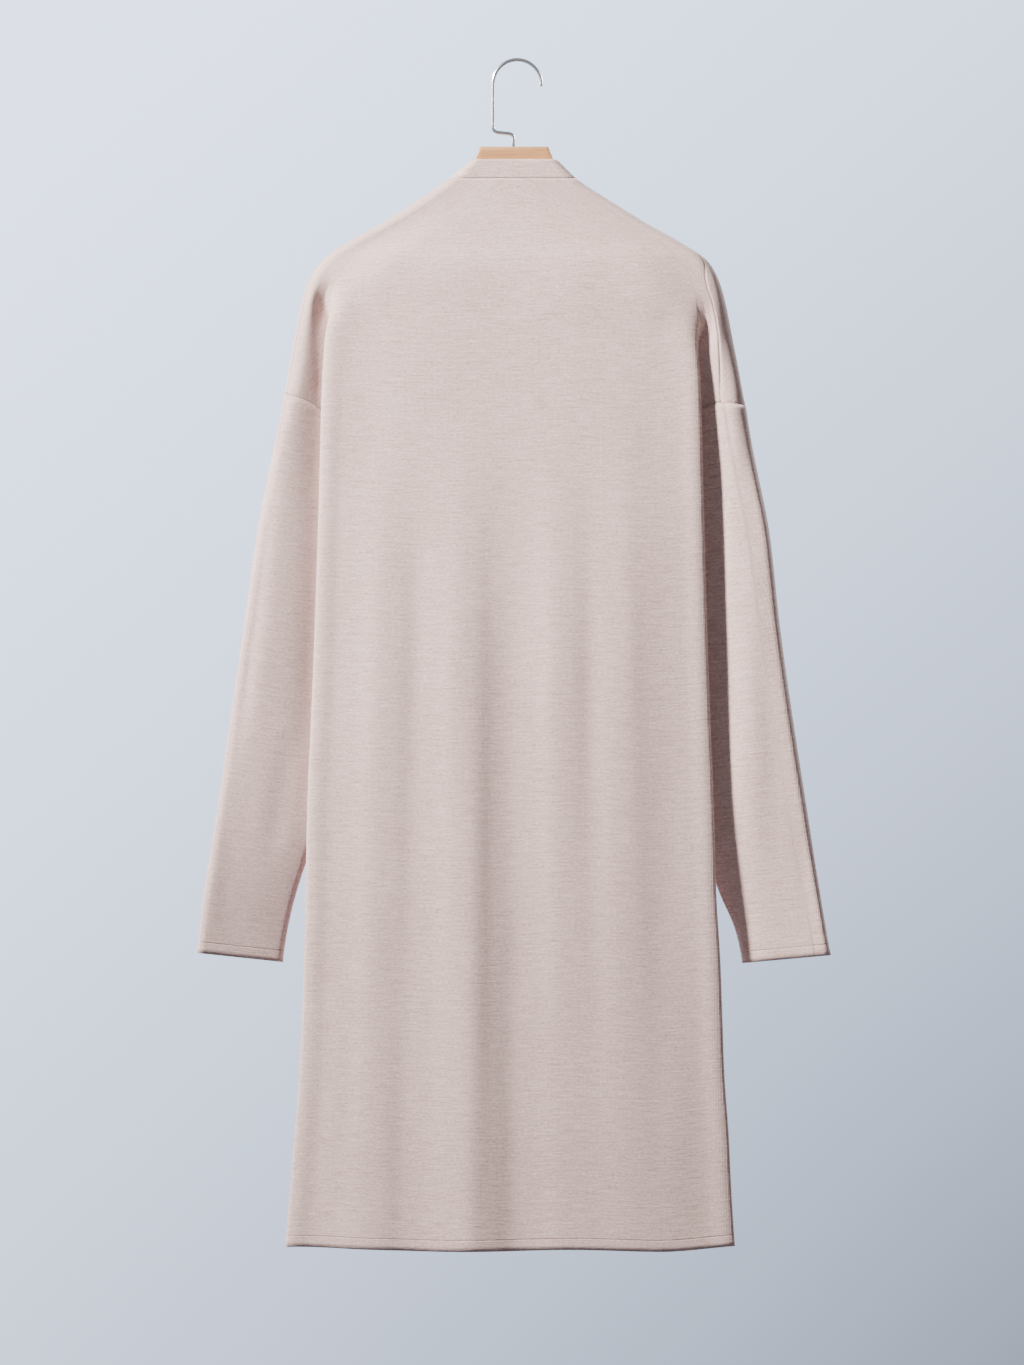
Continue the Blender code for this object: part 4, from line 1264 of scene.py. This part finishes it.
def add_wood():
    """Rounded rectangles: four quarter circles, each pushed out to its corner."""
    outs = np.unique(np.concatenate([WOOD["out"], np.linspace(0, 178, 90)]))
    outs = np.concatenate([-outs[:0:-1], outs])
    top = np.interp(np.abs(outs), WOOD["out"], WOOD["top"])
    bottom = np.interp(np.abs(outs), WOOD["out"], WOOD["bottom"])
    tall = (top - bottom) / 2
    thick = WOOD_THICK / 2 * np.minimum(1, 0.55 + tall / 20)
    turn = np.minimum(WOOD_ROUND, np.minimum(tall, thick) - LEAST_FLAT)[:, None]
    a = np.radians(np.concatenate([np.linspace(n, n + 90, 7) for n in (0, 90, 180, 270)]))
    corner_y, corner_z = np.repeat([(1, 1), (-1, 1), (-1, -1), (1, -1)], 7, axis=0).T
    y = corner_y * (thick[:, None] - turn) + turn * np.cos(a)
    z = ((top + bottom) / 2)[:, None] + corner_z * (tall[:, None] - turn) + turn * np.sin(a)
    x = np.broadcast_to((MIDDLE + outs)[:, None], y.shape)
    return tube("wood_body", np.stack([x, y, z], -1) * MM)


wood = add_wood()
print("wood is", [round(v / MM) for v in wood.dimensions], "mm")

# %% [markdown]
# ## Wire hook
#
# The hook is one bent wire: a half circle, a straight shank, and two bends that bring it over
# the wood's middle. Its line is worked out in the XZ plane, and a ring is set square to the
# line at each of its points.

# %% Wire hook
WIRE = 3.4
HOOK_INSIDE = 20.9  # radius of the hook inside, so its top is the origin
SHANK_X, FOOT_X = -22.8, -3.6
WIRE_END = 0.55  # the rounded end's thickness as a share of the wire's


def bend(corner, before, after, size):
    """A rounded corner of the wire: the quadratic curve between two points beside it."""
    corner, before, after = (np.array(v, float) for v in (corner, before, after))
    start, end = corner + before * size, corner + after * size
    t = np.linspace(0, 1, 12)[:, None]
    return (1 - t) ** 2 * start + 2 * t * (1 - t) * corner + t * t * end


def add_hook():
    """Rings about the wire's line, each square to the line's direction there."""
    radius = HOOK_INSIDE + WIRE / 2
    arc = np.radians(np.linspace(-6, 180, 90))
    line = np.concatenate([
        np.stack([radius * np.cos(arc), radius * np.sin(arc) - HOOK_INSIDE], -1),
        [(SHANK_X, -40.0), (SHANK_X, -60.0)],
        bend((SHANK_X, -66.0), (0, 1), (0.97, -0.14), 5.0),
        bend((FOOT_X, -68.4), (-0.97, 0.14), (0, -1), 4.0),
        [(FOOT_X, -75.0), (FOOT_X, -95.5)],
    ])
    way = np.gradient(line, axis=0)
    way /= np.linalg.norm(way, axis=1, keepdims=True)
    a = np.linspace(0, 2 * np.pi, 24, endpoint=False)
    size = np.full((len(line), 1), WIRE / 2)
    size[0] = WIRE_END * WIRE / 2
    x = line[:, :1] - way[:, 1:] * np.cos(a) * size
    z = line[:, 1:] + way[:, :1] * np.cos(a) * size
    return tube("hook_wire", np.stack([x, np.sin(a) * size, z], -1) * MM)


hook = add_hook()
print("hook is", [round(v / MM) for v in hook.dimensions], "mm")

# %% [markdown]
# ## Materials
#
# The looks are all procedural, so they are sharp at any distance. A small class lets shader
# values be added and multiplied as in ordinary sums, and one function makes every other node.

# %% Shader values
class Value:
    """A number in a material, which works in sums on either side."""

    def __init__(self, tree, socket):
        self.tree, self.socket = tree, socket

    def math(self, operation, *others, swap=False):
        made = self.tree.nodes.new("ShaderNodeMath")
        made.operation = operation
        terms = [self, *others]
        for term, socket in zip(terms[::-1] if swap else terms, made.inputs):
            if isinstance(term, Value):
                self.tree.links.new(term.socket, socket)
            else:
                socket.default_value = term
        return Value(self.tree, made.outputs[0])

    def __add__(self, other):
        return self.math("ADD", other)

    def __mul__(self, other):
        return self.math("MULTIPLY", other)

    def __sub__(self, other):
        return self.math("SUBTRACT", other)

    def __truediv__(self, other):
        return self.math("DIVIDE", other)

    def __rsub__(self, other):
        return self.math("SUBTRACT", other, swap=True)

    def __rtruediv__(self, other):
        return self.math("DIVIDE", other, swap=True)

    __radd__ = __add__
    __rmul__ = __mul__

    def sine(self):
        return self.math("SINE")

    def bump(self, at, wide):
        """1 at a value, falling off on both sides: e to minus the square of the distance."""
        off = (self - at) / wide
        return (off * off * -1.0).math("EXPONENT")


print("sums of shader values are ready")

# %% Shader nodes
def node(tree, kind, links=None, **settings):
    """A node with its settings and inputs. An input is a value or a wire."""
    made = tree.nodes.new(kind)
    for name, value in settings.items():
        setattr(made, name, value)
    for name, value in (links or {}).items():
        if isinstance(value, Value):
            tree.links.new(value.socket, made.inputs[name])
        else:
            made.inputs[name].default_value = value
    return made


def new_material(name, rough, **constants):
    """A material with its even values set. It gives the material, its nodes and its shader."""
    made = bpy.data.materials.new(name)
    made.use_nodes = True
    shader = made.node_tree.nodes["Principled BSDF"]
    shader.inputs["Roughness"].default_value = rough
    for key, value in constants.items():
        shader.inputs[key.replace("_", " ")].default_value = value
    return made, made.node_tree, shader


def attribute(tree, name, output="Fac"):
    """One of the cloth's own measures."""
    return Value(tree, node(tree, "ShaderNodeAttribute", attribute_name=name).outputs[output])


def apart(tree, vector):
    """The three numbers of a vector."""
    made = node(tree, "ShaderNodeSeparateXYZ", {"Vector": vector})
    return [Value(tree, socket) for socket in made.outputs]


def object_place(tree):
    """Place on the piece, in metres."""
    return Value(tree, node(tree, "ShaderNodeTexCoord").outputs["Object"])


def point(tree, x, y, z):
    """A vector of three numbers."""
    return Value(tree, node(tree, "ShaderNodeCombineXYZ", {"X": x, "Y": y, "Z": z}).outputs[0])


def noise(tree, where, detail, scale=1.0):
    """Soft noise from 0 to 1 at a place."""
    made = node(tree, "ShaderNodeTexNoise", {"Vector": where, "Scale": scale, "Detail": detail})
    return Value(tree, made.outputs["Fac"])


def mixed(tree, share, one, two):
    """A colour between two colours."""
    made = node(tree, "ShaderNodeMix", {0: share, 6: one, 7: two}, data_type="RGBA")
    return Value(tree, made.outputs[2])


def join(tree, value, shader, name):
    """A value that changes over the surface, led into one input of its shader."""
    tree.links.new(value.socket, shader.inputs[name])


def bumped(tree, height, strength, shader):
    """A height in metres, led through a Bump node into the shader's normal."""
    made = node(tree, "ShaderNodeBump", {"Height": height, "Strength": strength, "Distance": 1.0})
    join(tree, Value(tree, made.outputs[0]), shader, "Normal")


print("shader helpers are ready")

# %% [markdown]
# ## Knit
#
# The real cloth is a fine brushed knit, spun from paler and darker pink-beige fibres. Close to,
# it has short darker flecks along the rows, and tiny loops. A picture of knit would show its
# repeats, so four layers of noise, stretched along the rows, give the flecks. Two sine waves
# give the loops. A groove marks each seam and a line of stitches each hem.
# The grooves and stitch lines are also darker in tone: that darkening is painted shade.

# %% Knit
KNIT_DARK = (0.48, 0.318, 0.279, 1.0)
KNIT_PALE = (0.80, 0.584, 0.54, 1.0)
# Each layer's scale across and along, step of its seed, detail, and strength in the tone.
LAYERS = {
    "fleck": (75.0, 620.0, 0.0, 2.0, 1.1),
    "slub": (28.0, 330.0, 5.0, 1.0, 0.6),
    "grain": (330.0, 620.0, 7.0, 1.0, 1.3),
    "cloud": (7.0, 9.0, 9.0, 1.0, 0.2),
}
FULL_TURN = 6.2832
LOOP_WIDE, LOOP_TALL = 0.0015, 0.0021
GROOVE_WIDE = 0.0011
STITCH_AT, STITCH_WIDE = 0.0105, 0.0006
# Strength of the painted shade in the seam grooves (fainter on the band) and along the stitch lines.
SEAM_SHADE, FAINT_SHADE, STITCH_SHADE = 0.22, 0.05, 0.25  # how much darker seams and stitches are
LOOP_DEEP, FLECK_DEEP, GROOVE_DEEP, HEM_STEP = 0.00006, 0.0003, 0.0004, 0.0002


def knit(name, seed, seam_shade):
    """Tone: half plus each layer's swing times its strength, less painted shade in the seam grooves and
    along the stitch lines.

    Height: the loops, the flecks and the turned hem, less the grooves and stitches.
    """
    made, tree, shader = new_material(name, 0.92, Sheen_Weight=0.25, Sheen_Roughness=0.5)
    across, along, _ = apart(tree, attribute(tree, "cloth", "Vector"))
    hem, seam = attribute(tree, "hem"), attribute(tree, "seam")
    tone = 0.5
    yarn = {}
    for layer, (wide, tall, step, detail, strength) in LAYERS.items():
        yarn[layer] = noise(tree, point(tree, across * wide, along * tall, seed + step), detail)
        tone = tone + (yarn[layer] - 0.5) * strength
    groove = seam.bump(0.0, GROOVE_WIDE)
    stitch = hem.bump(STITCH_AT, STITCH_WIDE)
    turned = hem.math("LESS_THAN", STITCH_AT)
    # Painted shade: the tone is lowered in each seam groove and along each stitch line.
    tone = tone - groove * seam_shade - stitch * STITCH_SHADE
    join(tree, mixed(tree, tone, KNIT_DARK, KNIT_PALE), shader, "Base Color")
    wave = (along * (FULL_TURN / LOOP_TALL)).sine() * 0.7
    loops = (across * (FULL_TURN / LOOP_WIDE) + wave).sine()
    height = loops * LOOP_DEEP + yarn["fleck"] * FLECK_DEEP - groove * GROOVE_DEEP
    bumped(tree, height - stitch * GROOVE_DEEP + turned * HEM_STEP, 0.8, shader)
    return made


for seed, (name, cloth) in enumerate(cloths.items()):
    # Painted shade in the seam grooves: faint on the band, stronger on the other cloths.
    groove_shade = FAINT_SHADE if name == "neck_band" else SEAM_SHADE
    cloth.data.materials.append(knit("knit_look_" + name, 3.0 * seed + 1.0, groove_shade))
print("knit on", len(cloths), "cloths")

# %% [markdown]
# ## Wood and wire
#
# The hanger is pale wood with a straight grain from tip to tip, under a thin lacquer. Noise
# stretched along X gives its lines and pores. The hook is plated wire: bright metal, a little
# rougher where it was drawn.

# %% Wood and wire
WOOD_DARK = (0.37, 0.165, 0.062, 1.0)
WOOD_PALE = (0.64, 0.335, 0.15, 1.0)


def wood_look():
    """Tone: half plus the lines' and the pores' swing, with the lines bent by slow waves."""
    made, tree, shader = new_material("wood_look", 0.38, Coat_Weight=0.25, Coat_Roughness=0.25)
    x, y, z = apart(tree, object_place(tree))
    waves = noise(tree, point(tree, x * 4.0, y * 40.0, z * 40.0), 2.0)
    lines = noise(tree, point(tree, x * 14.0, y * 260.0, z * 260.0 + waves * 3.0), 4.0)
    pores = noise(tree, point(tree, x * 60.0, y * 1500.0, z * 1500.0), 2.0)
    tone = (lines - 0.5) * 1.6 + (pores - 0.5) * 0.5 + 0.5
    join(tree, mixed(tree, tone, WOOD_DARK, WOOD_PALE), shader, "Base Color")
    bumped(tree, pores * 0.0001, 0.5, shader)
    return made


def wire_look():
    """Bright plated metal, its roughness from fine noise."""
    made, tree, shader = new_material("wire_look", 0.2, Metallic=1.0, Base_Color=(0.88, 0.89, 0.91, 1.0))
    marks = noise(tree, object_place(tree), 2.0, 900.0)
    join(tree, marks * 0.12 + 0.2, shader, "Roughness")
    return made


wood.data.materials.append(wood_look())
hook.data.materials.append(wire_look())
print("looks:", ", ".join(piece.data.materials[0].name for piece in (wood, hook)))

# %% [markdown]
# ## What each piece stands for
#
# Nothing moves on this garment, so every piece rides on the one body. Each takes the place of
# the CAD solid of the same name. The six cloths have the flat size of their cut listed,
# since knit is cut flat and hangs.

slots = {name: "knit" for name in cloths}
everything = dict(cloths, hanger_wood=wood, hanger_hook=hook)
slots.update(hanger_wood="wood", hanger_hook="chrome")
for name, piece in everything.items():
    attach(piece, "root")
    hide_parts(name)

FLAT = {
    "back": (0.56, 1.02),
    "front_left": (0.27, 1.01),
    "front_right": (0.27, 1.01),
    "sleeve_left": (0.30, 0.55),
    "sleeve_right": (0.30, 0.55),
    "neck_band": (0.0175, 2.2),
}
for name, (wide, long) in FLAT.items():
    rests = ["hanger_wood"] if name in ("back", "neck_band") else ["back_cloth"]
print(len(everything), "pieces,", len(FLAT), "of them sheets")

# %% [markdown]
# ## Room
#
# The room is plain and pale blue. Anything flat close behind the garment would cut off the
# views from the front, so it is a round bowl, far off on all sides. Its far side, behind the
# garment, glows pale blue, and the glow fades towards the camera so that it doesn't light the
# cloth.

# %% Room
GLOW = (0.63, 0.75, 1.0, 1.0)
BLACK = (0.0, 0.0, 0.0, 1.0)


def bowl_look():
    """Emission: brighter with the distance behind the garment, to the left and upwards."""
    made, tree, shader = new_material(
        "bowl_look", 0.95, Base_Color=(0.25, 0.235, 0.225, 1.0), Emission_Strength=3.2
    )
    x, y, z = apart(tree, object_place(tree))
    behind = (y * 0.3 - 0.5).math("MINIMUM", 1.0).math("MAXIMUM", 0.03)
    # Painted light: the glow is brighter to the left and upwards, as the key lamp's light would fall on
    # a wall.
    glow = behind * (0.67 - x * 0.10 + z * 0.12)
    join(tree, mixed(tree, glow, BLACK, GLOW), shader, "Emission Color")
    return made


def add_bowl():
    """A floor that sweeps up on all sides: rings about Z, with a quarter circle between them."""
    a = np.linspace(0, 2 * np.pi, 97)[:-1]
    t = np.linspace(0, np.pi / 2, 24)
    radius = np.concatenate([[0.01, 2.0, 4.0], 4.5 + 3.0 * np.sin(t), [7.5]])
    height = np.concatenate([[0, 0, 0], 3.0 * (1 - np.cos(t)), [9.5]]) - 4.6
    x, y = radius[:, None] * np.cos(a), radius[:, None] * np.sin(a)
    points = np.stack([x, y, np.broadcast_to(height[:, None], x.shape)], -1)
    made = add_mesh("bowl", points, quads(*x.shape, around=True, flipped=True).tolist())
    made.data.materials.append(bowl_look())
    return made


add_bowl()

world = bpy.data.worlds.new("room")
bpy.context.scene.world = world
world.use_nodes = True
world.node_tree.nodes["Background"].inputs["Color"].default_value = (1.0, 0.95, 0.9, 1.0)
world.node_tree.nodes["Background"].inputs["Strength"].default_value = 0.22
print("room made")

# %% [markdown]
# ## Lights
#
# In the photo a soft light comes from the upper left, and the garment is a little darker lower
# down. The key is a small far lamp whose narrow beam is aimed high on the back, so that its
# light falls off down the cloth. The weak fill keeps the right side readable, and two more
# lamps light the front, for the views from there.

# %% Lights
LAMP_COLOUR = (1.0, 0.97, 0.94)
# Each lamp's place, size, power, the height it is aimed at and its spread in degrees.
LAMPS = {
    "key": ((-3.3, -2.0, 2.0), 0.5, 92, -0.27, 58),
    "fill": ((2.6, -3.2, 0.4), 3.0, 10, -0.55, 180),
    "far_key": ((3.0, 3.2, 1.6), 1.4, 230, -0.55, 180),
    "far_fill": ((-3.2, 3.0, 0.2), 3.0, 70, -0.55, 180),
}


def add_light(name, place, size, power, aim, spread):
    """A round area lamp turned towards a height on the garment's middle line."""
    data = bpy.data.lights.new(name, "AREA")
    data.spread = np.radians(spread)
    data.shape = "DISK"
    data.size = size
    data.energy = power
    data.color = LAMP_COLOUR
    lamp = bpy.data.objects.new(name, data)
    lamp.location = place
    lamp.rotation_euler = (Vector((0, 0, aim)) - Vector(place)).to_track_quat("-Z", "Y").to_euler()
    bpy.context.scene.collection.objects.link(lamp)


for name, lamp in LAMPS.items():
    add_light(name, *lamp)
print("lamps:", ", ".join(LAMPS))

# %% [markdown]
# ## Camera
#
# The camera looks straight along Y at the garment's back, from the distance that fits the
# photo's perspective. The frame is as tall there as the photo shows.

# %% Camera
SENSOR = 36.0
FRAME_TALL = 1.2831  # metres, at the hanger's depth
camera = bpy.data.objects.new("camera", bpy.data.cameras.new("camera"))
bpy.context.scene.collection.objects.link(camera)
camera.location = (EYE[0] * MM, -EYE[2] * MM, EYE[1] * MM)
camera.rotation_euler = (np.pi / 2, 0.0, 0.0)
camera.data.sensor_width = SENSOR
camera.data.lens = SENSOR * EYE[2] * MM / FRAME_TALL
camera.data.clip_end = 60.0
bpy.context.scene.camera = camera
print("camera at", [round(v, 4) for v in camera.location])
